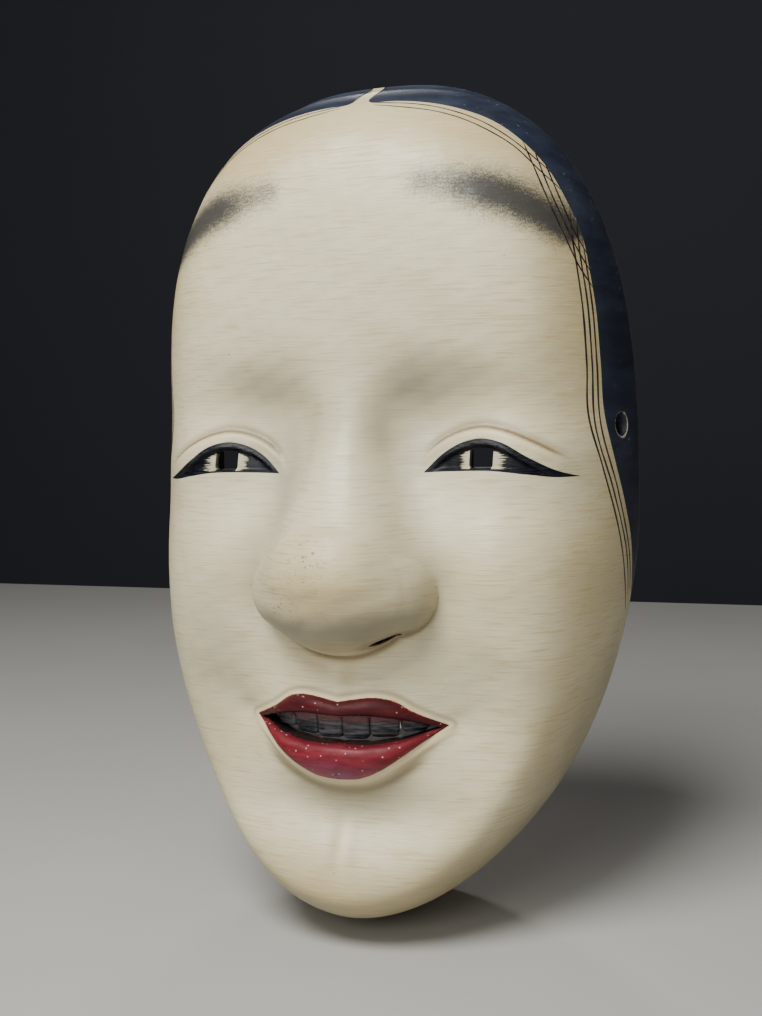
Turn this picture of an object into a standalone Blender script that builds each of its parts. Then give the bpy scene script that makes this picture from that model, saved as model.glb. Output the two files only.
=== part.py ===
"""Noh mask of a young woman: a hollow carved cypress body under separate coats of white ground, ink and red.

The face looks along -Y and the crown is at +Z. The origin lies midway between the two cord holes, in the
plane of the back rim. Shapes are worked out in millimetres and written to the meshes in metres.
Every coat is laid out on one unrolled plan of the front (u across, w up), so neighbours share their edges.
"""

import math

import bmesh
import bpy
import numpy as np
from mathutils import Vector
from mathutils.geometry import delaunay_2d_cdt

MM = 0.001

# Driving dimensions, in millimetres
HALF_WIDTH = 67.4
CROWN_Z = 91.5
CHIN_Z = -131.0
WIDEST_Z = -20.0
CROWN_POWER = 2.7
JAW_POWER = 1.88
COAT = 0.7
GAP = 0.3
WALL = 7.6
EYE_HOLE = (34.6, -7.7)
EYE_HOLE_SIZE = (6.2, 4.8)
CORD_HOLE_RADIUS = 3.2
CORD_HOLE = (12.5, -0.3)
NOSE_TIP, NOSE_TIP_RADII = (0.0, -40.0), (19.5, 16.8)
NOSE_WING, NOSE_WING_RADII = (13.2, -39.8), (11.2, 10.6)
NOSTRIL = (12.6, 50.5, -50.8)
NOSTRIL_RADII = (4.4, 1.5)
NOSTRIL_DRILL = (-0.28, 0.62, 0.74)
NOSTRIL_ALONG = (0.95, 0.30, -0.05)
NOSTRIL_REACH = (8.0, 24.0)
EYE_FLARE = (16.0, 13.0)
MOUTH_HEADROOM = 2.4
CUT_FRONT, CUT_BACK = -62.0, -18.0
COAT_CUT_DEPTHS = (-55.0, -30.0)
FLARE_START = -35.0
CORD_CUT_X, CORD_CUT_REACH = 64.0, 14.0
TOOTH_PITCH = 6.7
TOOTH_ROW_HALF_WIDTH = 20.0
TOOTH_SETBACK = 3.4
TOOTH_THICK = 3.2
TOOTH_BULGE = 0.9
TOOTH_RISE, TOOTH_FALL, TOOTH_SLOPE = 1.3, 3.6, 0.10
PARTING_HALF_WIDTH = 2.0

# The plan keeps the front view true up to FLAT_SHARE of the outline and unrolls the side wall past it
FLAT_SHARE = 0.86
REACH = 2.0 - FLAT_SHARE

# Plan spacings, in millimetres
RIM_POINTS = 104
COARSE = 6.2
FINE = 3.1
INNER_SPACING = 8.5
LIP_SPACING = 3.0
NOSE_LINE_SCALES = (0.90, 0.97, 1.03)
FINE_AREAS = (
    (0.0, -36.0, 28.0, 25.0), (0.0, -76.0, 31.0, 16.0), (38.0, -8.0, 23.0, 11.0), (-38.0, -8.0, 23.0, 11.0),
)

# Depth of the plain plate under the features, as (z, depth)
PLATE = (
    (-131.0, 59.0), (-118.0, 57.0), (-108.0, 53.0), (-98.0, 49.0), (-84.0, 45.8), (-70.0, 44.6), (-50.0, 44.6),
    (-30.0, 45.8), (-12.0, 43.0), (5.0, 39.5), (22.0, 40.3), (40.0, 42.0), (58.0, 42.8), (74.0, 43.2), (92.0, 42.0),
)
BRIDGE = (
    (-46.0, 64.5), (-40.0, 65.2), (-34.0, 63.4), (-26.0, 58.8), (-16.0, 52.6), (-6.0, 47.0),
    (4.0, 42.4), (14.0, 38.8), (26.0, 34.0), (40.0, 26.0), (60.0, 10.0),
)
BRIDGE_HALF = (
    (-46.0, 15.0), (-36.0, 16.5), (-26.0, 14.6), (-14.0, 11.6), (-2.0, 10.2), (10.0, 13.0), (24.0, 22.0), (60.0, 40.0),
)
BRIDGE_DROP = 9.0
BRIDGE_POWER = 2.7

# Outlines of the painted features, as (x, z) on the +X half of the front view
EYE_TOP = (
    (19.6, -11.2), (24.6, -6.5), (29.6, -3.8), (34.6, -2.9), (39.4, -3.9), (46.0, -7.7), (52.6, -11.3), (57.0, -12.8),
)
EYE_LOW = ((19.6, -11.2), (28.0, -10.9), (38.0, -10.9), (46.0, -11.9), (52.6, -12.8), (57.0, -12.8))
LIP_TOP = ((0.0, -67.5), (5.5, -66.5), (9.5, -66.2), (13.0, -66.8), (19.0, -70.4), (24.8, -73.5))
LIP_INNER_TOP = ((0.0, -70.8), (10.0, -70.9), (16.0, -71.9), (23.4, -74.1))
LIP_INNER_LOW = ((0.0, -78.0), (9.0, -77.7), (16.0, -76.7), (23.4, -75.0))
LIP_LOW = ((0.0, -87.4), (5.0, -86.9), (10.0, -84.8), (15.0, -81.6), (19.5, -78.4), (24.8, -75.6))
LIP_CORNER_X = 24.8
HAIRLINE = (
    (2.0, 86.6), (3.2, 84.6), (8.0, 85.0), (18.0, 83.6), (27.0, 81.4), (36.0, 78.0), (43.0, 73.0), (49.0, 66.5),
    (54.0, 57.5), (57.5, 49.5), (59.4, 39.0), (60.6, 30.0), (61.4, 16.0), (62.0, 3.0), (64.6, -8.0), (68.0, -20.0),
    (70.8, -31.0), (72.6, -43.0), (73.6, -51.0),
)
HAIR_FOOT_W = -58.0


def step(value, low, high):
    """0 below low, 1 above high, smooth between."""
    t = np.clip((value - low) / (high - low), 0.0, 1.0)
    return t * t * (3.0 - 2.0 * t)


def through(points, at):
    """Smooth curve through (x, y) points, read at x = at."""
    knots, values = np.array(points, float).T
    slopes = np.gradient(values, knots)
    at = np.clip(at, knots[0], knots[-1])
    i = np.clip(np.searchsorted(knots, at, side="right") - 1, 0, len(knots) - 2)
    span = knots[i + 1] - knots[i]
    t = (at - knots[i]) / span
    start = (2.0 * t**3 - 3.0 * t**2 + 1.0) * values[i] + (t**3 - 2.0 * t**2 + t) * span * slopes[i]
    end = (3.0 * t**2 - 2.0 * t**3) * values[i + 1] + (t**3 - t**2) * span * slopes[i + 1]
    return start + end


def swell(x, z, centre_x, centre_z, size_x, size_z, turn=0.0):
    """Rounded hill of height 1, turned by some degrees."""
    angle = math.radians(turn)
    dx, dz = x - centre_x, z - centre_z
    along = dx * math.cos(angle) + dz * math.sin(angle)
    across = dz * math.cos(angle) - dx * math.sin(angle)
    return np.exp(-0.5 * ((along / size_x) ** 2 + (across / size_z) ** 2))


def meet(a, b, blend):
    """The larger of a and b, with the corner between them rounded."""
    return 0.5 * (a + b + np.sqrt((a - b) ** 2 + blend * blend))


def outline_radius(cosine, sine):
    """Distance of the rim from its centre: a fuller arch above and a narrower egg below."""
    power = JAW_POWER + (CROWN_POWER - JAW_POWER) * step(sine, -0.34, 0.34)
    height = np.where(sine > 0.0, CROWN_Z - WIDEST_Z, WIDEST_Z - CHIN_Z)
    return (np.abs(cosine / HALF_WIDTH) ** power + np.abs(sine / height) ** power) ** (-1.0 / power)


def roll_off(share, sine):
    """How the plate falls to the rim: round at the temples, squarer at the crown, square under the chin."""
    power = 4.2 + np.where(sine > 0.0, 3.6, 15.0) * sine * sine
    root = 1.6 + 0.1 * sine * sine
    return np.clip(1.0 - share**power, 0.0, 1.0) ** (1.0 / root)


def cap(x, z, centre, radii, base, height):
    """Round cap that stands on depth base and falls away steeply outside its edge."""
    rho = np.hypot((x - centre[0]) / radii[0], (z - centre[1]) / radii[1])
    return base + height * np.sqrt(np.clip(1.0 - rho * rho, 0.0, 1.0)) - 34.0 * np.clip(rho - 1.0, 0.0, None)


def relief(x, z):
    """Hollows and swellings of the face over the plain plate."""
    a = np.abs(x)
    depth = -2.2 * swell(a, z, 26.0, 4.0, 16.0, 8.0, -10.0)
    depth -= 5.0 * swell(a, z, 22.0, -8.0, 13.0, 11.0, -4.0)
    depth += 3.4 * swell(a, z, 37.0, -7.0, 12.5, 6.0, -6.0)
    depth += 2.2 * swell(a, z, 37.0, -40.0, 15.0, 17.0)
    depth -= 3.6 * swell(a, z, 24.5, -38.0, 6.5, 13.0, -6.0)
    depth -= 1.2 * swell(a, z, 60.0, -2.0, 9.0, 16.0)
    depth += 7.6 * swell(a, z, 0.0, -74.0, 16.0, 14.0)
    depth -= 3.6 * swell(a, z, 29.0, -73.0, 8.5, 10.5, 20.0)
    depth -= 2.2 * swell(a, z, 47.0, -82.0, 14.0, 18.0, 24.0)
    depth -= 4.6 * swell(a, z, 0.0, -96.0, 20.0, 6.2)
    depth += 0.6 * swell(a, z, 0.0, -110.0, 14.0, 10.0)
    return depth


def nose(x, z, depth):
    """Adds the bridge, the ball and the two wings of the nose."""
    a = np.abs(x)
    ridge = through(BRIDGE, z) - BRIDGE_DROP * (a / through(BRIDGE_HALF, z)) ** BRIDGE_POWER
    ridge -= 0.13 * np.clip(-36.0 - z, 0.0, None) ** 2
    tip = cap(a, z, NOSE_TIP, NOSE_TIP_RADII, 44.0, 22.0)
    wing = cap(a, z, NOSE_WING, NOSE_WING_RADII, 41.0, 17.5)
    blend = 1.5 + 7.5 * step(z, -44.0, -24.0)
    return meet(meet(depth, ridge, 5.0), meet(tip, wing, 5.0), blend)


def lip_swell(x, z):
    """Roundness of the two lips, thinning out to the corners."""
    a = np.abs(x)
    fullness = 1.0 - step(a, 13.0, LIP_CORNER_X)
    height = np.zeros_like(a)
    for low, high, tall in ((LIP_INNER_TOP, LIP_TOP, 2.0), (LIP_LOW, LIP_INNER_LOW, 2.9)):
        foot, crown = through(low, a), through(high, a)
        share = np.clip((z - foot) / np.maximum(crown - foot, 0.3), 0.0, 1.0)
        height += tall * fullness * np.sqrt(np.clip(4.0 * share * (1.0 - share), 0.0, 1.0))
    return height


def polar(u, w):
    radius = np.maximum(np.hypot(u, w - WIDEST_Z), 1e-6)
    return radius, u / radius, (w - WIDEST_Z) / radius


def front(u, w, inset):
    """Point of the front surface over plan point (u, w), moved inwards by inset."""
    radius, cosine, sine = polar(u, w)
    edge = outline_radius(cosine, sine)
    t = np.minimum(radius / edge, REACH)
    share = np.where(t < FLAT_SHARE, t, 1.0 - (REACH - t) ** 2 / (4.0 * (1.0 - FLAT_SHARE)))
    x, z = share * edge * cosine, WIDEST_Z + share * edge * sine
    fall = roll_off(share, sine)
    window = 1.0 - step(share, 0.80, 0.99)
    depth = nose(x, z, fall * through(PLATE, z) + window * relief(x, z)) + window * lip_swell(x, z)
    depth = np.where(t > 0.999 * REACH, 0.0, depth - inset * fall)
    keep = 1.0 - inset / edge
    return np.stack([x * keep, -depth, WIDEST_Z + (z - WIDEST_Z) * keep], axis=-1)


def hollow(u, w):
    """Point of the carved hollow inside, over the same plan."""
    radius, cosine, sine = polar(u, w)
    edge = outline_radius(cosine, sine)
    t = np.minimum(radius / edge, REACH)
    share = np.where(t < FLAT_SHARE, t, 1.0 - (REACH - t) ** 2 / (4.0 * (1.0 - FLAT_SHARE)))
    keep = 1.0 - (COAT + GAP + WALL) / edge
    x, z = share * edge * cosine * keep, WIDEST_Z + share * edge * sine * keep
    a = np.abs(x)
    depth = through(PLATE, z) - WALL - COAT - GAP
    depth -= 5.2 * swell(a, z, 23.0, -5.0, 19.0, 15.0)
    depth -= 2.4 * swell(a, z, 29.0, -73.0, 12.0, 14.0)
    depth -= 3.2 * swell(a, z, 0.0, -96.0, 26.0, 10.0)
    depth += 13.0 * swell(a, z, 0.0, -37.0, 9.5, 11.0)
    depth *= roll_off(share, sine)
    return np.stack([x, -depth, z], axis=-1)


def unroll(x, z):
    """Plan point under front-view point (x, z)."""
    radius, cosine, sine = polar(x, z)
    edge = outline_radius(cosine, sine)
    share = np.minimum(radius / edge, 1.0)
    rolled = REACH - np.sqrt(4.0 * (1.0 - FLAT_SHARE) * (1.0 - share))
    t = np.where(share < FLAT_SHARE, share, rolled)
    return np.stack([t * edge * cosine, WIDEST_Z + t * edge * sine], axis=-1)


def rim_point(angle):
    edge = outline_radius(np.cos(angle), np.sin(angle)) * REACH
    return np.stack([edge * np.cos(angle), WIDEST_Z + edge * np.sin(angle)], axis=-1)


def mirrored(points):
    return points * np.array([-1.0, 1.0])


def edge_line(points, spacing):
    """Evenly spaced plan points along a smooth curve through (x, z) points."""
    points = np.array(points, float)
    grown = np.concatenate([[0.0], np.cumsum(np.linalg.norm(np.diff(points, axis=0), axis=1))])
    count = max(2, round(grown[-1] / spacing) + 1)
    at = np.linspace(0.0, grown[-1], count)
    curves = [through(list(zip(grown, points[:, k])), at) for k in (0, 1)]
    return np.stack(curves, axis=-1)


def closed_line(*runs):
    """One closed loop from runs that end where the next begins."""
    return np.concatenate([run[:-1] for run in runs])


def lens(upper, lower, spacing):
    """Loop between two half curves that share no corner, mirrored to both sides of the middle."""
    top, low = edge_line(upper, spacing), edge_line(lower, spacing)
    right = np.concatenate([top, low[::-1]])
    left = mirrored(right)[::-1][1:-1]
    return unroll(*np.concatenate([right, left]).T)


def lip_loop(outer, inner, spacing):
    """Loop round one lip: its outer edge from corner to corner and its inner edge back."""
    out, back = edge_line(outer, spacing), edge_line(inner, spacing)
    whole_out = np.concatenate([mirrored(out)[::-1][:-1], out])
    whole_back = np.concatenate([mirrored(back)[::-1][:-1], back])
    return unroll(*np.concatenate([whole_out, whole_back[::-1]]).T)


def eye_loop():
    top, low = edge_line(EYE_TOP, 3.0), edge_line(EYE_LOW, 4.0)
    return unroll(*closed_line(top, low[::-1]).T)


def parting_angle():
    return math.atan(PARTING_HALF_WIDTH / ((CROWN_Z - WIDEST_Z) * REACH))


def reach_of_ellipse(centre, radii, cosine, sine):
    """How far a ray from the nose tip's centre runs before it leaves an ellipse."""
    ox, oz = (NOSE_TIP[0] - centre[0]) / radii[0], (NOSE_TIP[1] - centre[1]) / radii[1]
    dx, dz = cosine / radii[0], sine / radii[1]
    a, b, c = dx * dx + dz * dz, ox * dx + oz * dz, ox * ox + oz * oz - 1.0
    return (-b + np.sqrt(np.maximum(b * b - a * c, 0.0))) / a


def nose_line(scale):
    """Line round the underside and the wings of the nose, where its flank meets the cheek."""
    angles = np.radians(np.linspace(38.0, -218.0, 53))
    cosine, sine = np.cos(angles), np.sin(angles)
    tip = reach_of_ellipse(NOSE_TIP, NOSE_TIP_RADII, cosine, sine)
    wing = reach_of_ellipse(NOSE_WING, NOSE_WING_RADII, np.abs(cosine), sine)
    reach = np.maximum(tip, np.where(wing > 0.0, wing, 0.0)) * scale
    return np.stack([NOSE_TIP[0] + reach * cosine, NOSE_TIP[1] + reach * sine], axis=-1)


def rim_angles():
    """Even steps round the rim, with one point more at each edge of the parting."""
    even = np.arange(RIM_POINTS) * 2.0 * math.pi / RIM_POINTS
    extra = np.array([parting_angle(), 2.0 * math.pi - parting_angle()])
    return math.pi / 2.0 + np.sort(np.concatenate([even, extra]))


def hair_loop():
    """Loop round the right-hand hair: parting edge, hairline, then back along the rim."""
    rim = rim_point(rim_angles())
    rim = rim[(rim[:, 0] > 0.5 * PARTING_HALF_WIDTH) & (rim[:, 1] > HAIR_FOOT_W)]
    rim = rim[np.argsort(rim[:, 1])]
    return np.concatenate([rim, edge_line(HAIRLINE, 5.0)])


def inside(loop, points):
    """Which points lie inside the loop."""
    ax, ay = loop[:, 0][:, None], loop[:, 1][:, None]
    bx, by = np.roll(ax, -1, axis=0), np.roll(ay, -1, axis=0)
    px, py = points[:, 0][None], points[:, 1][None]
    rise = np.where(by == ay, 1e-12, by - ay)
    crossed = ((ay > py) != (by > py)) & (px < (bx - ax) * (py - ay) / rise + ax)
    return crossed.sum(axis=0) % 2 == 1


def distance_to(loops, points):
    """Distance from each point to the nearest loop."""
    nearest = np.full(len(points), 1e9)
    for loop in loops:
        start, run = loop, np.roll(loop, -1, axis=0) - loop
        rel = points[:, None] - start[None]
        t = np.clip((rel * run).sum(-1) / np.maximum((run * run).sum(-1), 1e-12), 0.0, 1.0)
        gap = np.linalg.norm(rel - t[..., None] * run, axis=-1).min(axis=1)
        nearest = np.minimum(nearest, gap)
    return nearest


def lattice(spacing):
    """Points of a triangular grid over the plan, mirrored about the middle."""
    rows = np.arange(-160.0, 120.0, spacing * math.sqrt(0.75))
    points = []
    for k, w in enumerate(rows):
        shift = 0.5 * spacing * (k % 2)
        across = np.arange(shift, 90.0, spacing)
        points += [(u, w) for u in across] + [(-u, w) for u in across if u > 0.0]
    points = np.array(points)
    radius, cosine, sine = polar(points[:, 0], points[:, 1])
    return points[radius < REACH * outline_radius(cosine, sine) - 0.45 * spacing]


def in_fine_area(points):
    hit = np.zeros(len(points), bool)
    for u, w, half_u, half_w in FINE_AREAS:
        hit |= np.hypot((points[:, 0] - u) / half_u, (points[:, 1] - w) / half_w) < 1.0
    return hit


def triangulate(loops, lines, scattered):
    """Triangles of the plan that keep every closed loop and open line as edges: (points, faces)."""
    points = [Vector(p) for run in loops + lines for p in run]
    edges = []
    first = 0
    for run in loops + lines:
        count = len(run)
        edges += [(first + k, first + k + 1) for k in range(count - 1)]
        first += count
    first = 0
    for loop in loops:
        edges.append((first + len(loop) - 1, first))
        first += len(loop)
    points += [Vector(p) for p in scattered]
    found = delaunay_2d_cdt(points, edges, [], 0, 1e-5)
    return np.array([tuple(p) for p in found[0]]), np.array(found[2])


def outward(points, faces):
    """Faces turned so that they run anticlockwise on the plan."""
    a, b, c = (points[faces[:, k]] for k in range(3))
    area = (b[:, 0] - a[:, 0]) * (c[:, 1] - a[:, 1]) - (b[:, 1] - a[:, 1]) * (c[:, 0] - a[:, 0])
    return np.where((area < 0.0)[:, None], faces[:, ::-1], faces)


def border(faces):
    """Directed edges that only one face uses."""
    pairs = [(int(f[k]), int(f[(k + 1) % 3])) for f in faces for k in range(3)]
    used = set(pairs)
    return [(a, b) for a, b in pairs if (b, a) not in used]


def drawn_in(points, faces, amount):
    """Plan points with the region's border moved inwards by amount."""
    moved = points.copy()
    push = {}
    for a, b in border(faces):
        run = points[b] - points[a]
        normal = np.array([-run[1], run[0]]) / max(np.linalg.norm(run), 1e-9)
        for corner in (a, b):
            push.setdefault(corner, []).append(normal)
    for corner, normals in push.items():
        mean = np.mean(normals, axis=0)
        length = max(np.linalg.norm(mean), 0.45)
        moved[corner] += amount * mean / (length * length)
    return moved


def material(name, colour, roughness):
    mat = bpy.data.materials.new(name)
    mat.use_nodes = True
    mat.diffuse_color = (*colour, 1.0)
    shader = mat.node_tree.nodes["Principled BSDF"]
    shader.inputs["Base Color"].default_value = (*colour, 1.0)
    shader.inputs["Roughness"].default_value = roughness
    shader.inputs["Metallic"].default_value = 0.0
    return mat


def mesh_object(name, points, faces, mat=None):
    mesh = bpy.data.meshes.new(name)
    mesh.from_pydata((np.asarray(points) * MM).tolist(), [], [tuple(map(int, f)) for f in faces])
    mesh.validate()
    obj = bpy.data.objects.new(name, mesh)
    bpy.context.scene.collection.objects.link(obj)
    if mat is not None:
        mesh.materials.append(mat)
        mesh.shade_smooth()
        mesh.set_sharp_from_angle(angle=math.radians(35.0))
    return obj


def coat(name, plan, faces, mat):
    """Thin skin over some faces of the plan, kept clear of its neighbours by half a gap all round."""
    used, faces = np.unique(faces, return_inverse=True)
    faces = faces.reshape(-1, 3)
    plan = drawn_in(plan[used], faces, 0.5 * GAP)
    outer, inner = front(*plan.T, 0.0), front(*plan.T, COAT)
    count = len(plan)
    sides = [(b, a, a + count, b + count) for a, b in border(faces)]
    both = [tuple(f) for f in faces] + [tuple(f[::-1] + count) for f in faces] + sides
    return mesh_object(name, np.concatenate([outer, inner]), both, mat)


def body(plan, faces, mat):
    """Carved block: the front under the coats, the hollow behind it and the flat rim between them."""
    outer = front(*plan.T, COAT + GAP)
    rim = rim_point(rim_angles())
    inner_plan, inner_faces = triangulate([rim], [], lattice(INNER_SPACING))
    inner_faces = outward(inner_plan, inner_faces)
    inner = hollow(*inner_plan.T)
    count = len(outer)
    ring = {tuple(np.round(plan[a], 3)): a for a, _ in border(faces)}
    sides = []
    for a, b in border(inner_faces):
        outer_a, outer_b = (ring[tuple(np.round(inner_plan[k], 3))] for k in (a, b))
        sides.append((outer_b, outer_a, a + count, b + count))
    both = [tuple(f) for f in faces] + [tuple(f[::-1] + count) for f in inner_faces] + sides
    return mesh_object("wood_body", np.concatenate([outer, inner]), both, mat)


def cutter(name, sections):
    """Solid lofted through closed sections of equal length, kept out of the render."""
    sections = [np.asarray(section, float) for section in sections]
    count = len(sections[0])
    faces = [tuple(range(count)), tuple(range(len(sections) * count - 1, (len(sections) - 1) * count - 1, -1))]
    for k in range(len(sections) - 1):
        for j in range(count):
            a, b = k * count + j, k * count + (j + 1) % count
            faces.append((b, a, a + count, b + count))
    obj = mesh_object(name, np.concatenate(sections), faces)
    bm = bmesh.new()
    bm.from_mesh(obj.data)
    bmesh.ops.recalc_face_normals(bm, faces=bm.faces)
    bm.to_mesh(obj.data)
    bm.free()
    obj.hide_render = True
    obj.display_type = "WIRE"
    return obj


def cut(obj, tool):
    modifier = obj.modifiers.new(tool.name, "BOOLEAN")
    modifier.operation = "DIFFERENCE"
    modifier.solver = "EXACT"
    modifier.object = tool


def rectangle(x, z, size_x, size_z, y):
    half_x, half_z = 0.5 * size_x, 0.5 * size_z
    return [(x + i * half_x, y, z + j * half_z) for i, j in ((-1, -1), (1, -1), (1, 1), (-1, 1))]


def eye_cutters(side):
    """Square pupil hole for the coat, and the same hole with its flare for the wood behind."""
    x, z = side * EYE_HOLE[0], EYE_HOLE[1]
    wide, tall = EYE_HOLE_SIZE
    name = "left" if side > 0 else "right"
    hole = [rectangle(x, z, wide, tall, y) for y in COAT_CUT_DEPTHS]
    flare = [rectangle(x, z, wide, tall, y) for y in (CUT_FRONT, FLARE_START)]
    flare.append(rectangle(x, z, wide + EYE_FLARE[0], tall + EYE_FLARE[1], CUT_BACK))
    return cutter("cut_pupil_" + name, hole), cutter("cut_eye_" + name, flare)


def ring(centre, along, across, length, count=20):
    """Sections of an elliptical drill from centre, both ways along its length."""
    turns = [2.0 * math.pi * k / count for k in range(count)]
    loop = [along * math.cos(t) + across * math.sin(t) for t in turns]
    return [[tuple(centre + point + length * end) for point in loop] for end in (-1.0, 1.0)]


def nostril_cutter(side):
    centre = Vector((side * NOSTRIL[0], -NOSTRIL[1], NOSTRIL[2]))
    mirror = Vector((side, 1.0, 1.0))
    drill = (Vector(NOSTRIL_DRILL) * mirror).normalized()
    along = Vector(NOSTRIL_ALONG) * mirror
    along = (along - drill * along.dot(drill)).normalized()
    across = drill.cross(along)
    name = "cut_nostril_left" if side > 0 else "cut_nostril_right"
    out, back = NOSTRIL_REACH
    sections = ring(centre, along * NOSTRIL_RADII[0], across * NOSTRIL_RADII[1], drill * back)
    lower = [tuple(Vector(p) + drill * (back - out)) for p in sections[0]]
    return cutter(name, [lower, sections[1]])


def cord_cutter(side):
    centre = Vector((side * CORD_CUT_X, -CORD_HOLE[0], CORD_HOLE[1]))
    up, out = Vector((0.0, 0.0, CORD_HOLE_RADIUS)), Vector((0.0, CORD_HOLE_RADIUS, 0.0))
    name = "cut_cord_left" if side > 0 else "cut_cord_right"
    return cutter(name, ring(centre, up, out, Vector((CORD_CUT_REACH, 0.0, 0.0)), 24))


def mouth_cutter():
    """Opening between the lips, carried up behind the upper lip to make room for the teeth."""
    top = edge_line([(x, z + MOUTH_HEADROOM) for x, z in LIP_INNER_TOP], LIP_SPACING)
    low = edge_line(LIP_INNER_LOW, LIP_SPACING)
    right = np.concatenate([top, low[::-1]])
    left = mirrored(right)[::-1][1:-1]
    loop = np.concatenate([right, left])
    return cutter("cut_mouth", [[(x, y, z) for x, z in loop] for y in (CUT_FRONT, CUT_BACK)])


def teeth(mat):
    """Row of upper teeth in one piece, bulging at each tooth and hanging behind the upper lip."""
    across = np.linspace(-TOOTH_ROW_HALF_WIDTH, TOOTH_ROW_HALF_WIDTH, 49)
    rows = np.linspace(0.0, 1.0, 5)
    x, share = np.meshgrid(across, rows, indexing="ij")
    phase = np.abs(x) / TOOTH_PITCH
    bulge = np.sqrt(np.abs(np.sin(math.pi * phase)))
    top = through(LIP_INNER_TOP, np.abs(x)) + TOOTH_RISE
    low = top - TOOTH_RISE - TOOTH_FALL + TOOTH_SLOPE * np.abs(x) - TOOTH_BULGE * bulge
    z = top + (low - top) * share
    at = unroll(np.abs(x), top)
    lips = -front(at[..., 0], at[..., 1], COAT + GAP)[..., 1]
    recessed = lips.max(axis=1, keepdims=True) - TOOTH_SETBACK
    face = recessed + TOOTH_BULGE * bulge * np.sin(math.pi * (0.25 + 0.55 * share))
    back = np.broadcast_to(recessed - TOOTH_THICK, x.shape)
    grid = np.arange(x.size).reshape(x.shape)
    quads = []
    for i in range(x.shape[0] - 1):
        quads += [(grid[i, j], grid[i + 1, j], grid[i + 1, j + 1], grid[i, j + 1]) for j in range(x.shape[1] - 1)]
    loop = list(grid[:, 0]) + list(grid[-1, 1:]) + list(grid[-2::-1, -1]) + list(grid[0, -2:0:-1])
    size = x.size
    faces = quads + [tuple(k + size for k in quad[::-1]) for quad in quads]
    faces += [(a, a + size, b + size, b) for a, b in zip(loop, loop[1:] + loop[:1])]
    points = np.concatenate([np.stack([x, -d, z], axis=-1).reshape(-1, 3) for d in (face, back)])
    obj = mesh_object("tooth_row", points, faces, mat)
    bm = bmesh.new()
    bm.from_mesh(obj.data)
    bmesh.ops.recalc_face_normals(bm, faces=bm.faces)
    bm.to_mesh(obj.data)
    bm.free()
    return obj


def build():
    for obj in list(bpy.data.objects):
        bpy.data.objects.remove(obj)

    right_hair, right_eye = hair_loop(), eye_loop()
    regions = {
        "hair_coat_left": right_hair,
        "hair_coat_right": mirrored(right_hair)[::-1],
        "eye_coat_left": right_eye,
        "eye_coat_right": mirrored(right_eye)[::-1],
        "upper_lip_coat": lip_loop(LIP_TOP, LIP_INNER_TOP, LIP_SPACING),
        "lower_lip_coat": lip_loop(LIP_LOW, LIP_INNER_LOW, LIP_SPACING),
    }
    mouth = lens(LIP_INNER_TOP, LIP_INNER_LOW, LIP_SPACING)
    rim = rim_point(rim_angles())

    coarse, fine = lattice(COARSE), lattice(FINE)
    scattered = np.concatenate([coarse[~in_fine_area(coarse)], fine[in_fine_area(fine)]])
    spacing = np.where(in_fine_area(scattered), FINE, COARSE)
    loops = [rim, mouth] + list(regions.values())
    lines = [nose_line(scale) for scale in NOSE_LINE_SCALES]
    scattered = scattered[distance_to(loops + lines, scattered) > 0.5 * spacing]
    plan, faces = triangulate(loops, lines, scattered)
    faces = outward(plan, faces)
    centres = plan[faces].mean(axis=1)

    finishes = {
        "hair_coat_left": material("ink_black", (0.018, 0.022, 0.030), 0.6),
        "hair_coat_right": bpy.data.materials["ink_black"],
        "eye_coat_left": material("eye_black", (0.012, 0.013, 0.017), 0.45),
        "eye_coat_right": bpy.data.materials["eye_black"],
        "upper_lip_coat": material("dark_red", (0.14, 0.018, 0.024), 0.4),
        "lower_lip_coat": material("rouge_red", (0.29, 0.045, 0.055), 0.4),
    }
    free = ~inside(mouth, centres)
    built = {}
    for name, loop in regions.items():
        chosen = inside(loop, centres) & free
        built[name] = coat(name, plan, faces[chosen], finishes[name])
        free &= ~chosen
    built["face_coat"] = coat("face_coat", plan, faces[free], material("white_ground", (0.60, 0.55, 0.42), 0.42))
    wood = body(plan, faces, material("cypress", (0.30, 0.17, 0.085), 0.55))
    teeth(material("tooth_black", (0.035, 0.036, 0.040), 0.35))

    cut(wood, mouth_cutter())
    for side, name in ((1, "left"), (-1, "right")):
        pupil, flare = eye_cutters(side)
        cut(built["eye_coat_" + name], pupil)
        cut(wood, flare)
        nostril = nostril_cutter(side)
        cut(built["face_coat"], nostril)
        cut(wood, nostril)
        cord = cord_cutter(side)
        cut(built["hair_coat_" + name], cord)
        cut(wood, cord)


build()
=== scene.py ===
"""Looks of the noh mask: painted skins, lips, teeth and carved wood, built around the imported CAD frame.

The face looks along -Y and the crown is at +Z. Shapes are worked out in millimetres on the unrolled plan of
the front (u across, w up), as in the CAD source, and written to the meshes in metres.
"""

import math

import bmesh
import bpy
import numpy as np
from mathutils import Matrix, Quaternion, Vector
from mathutils.geometry import delaunay_2d_cdt


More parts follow.
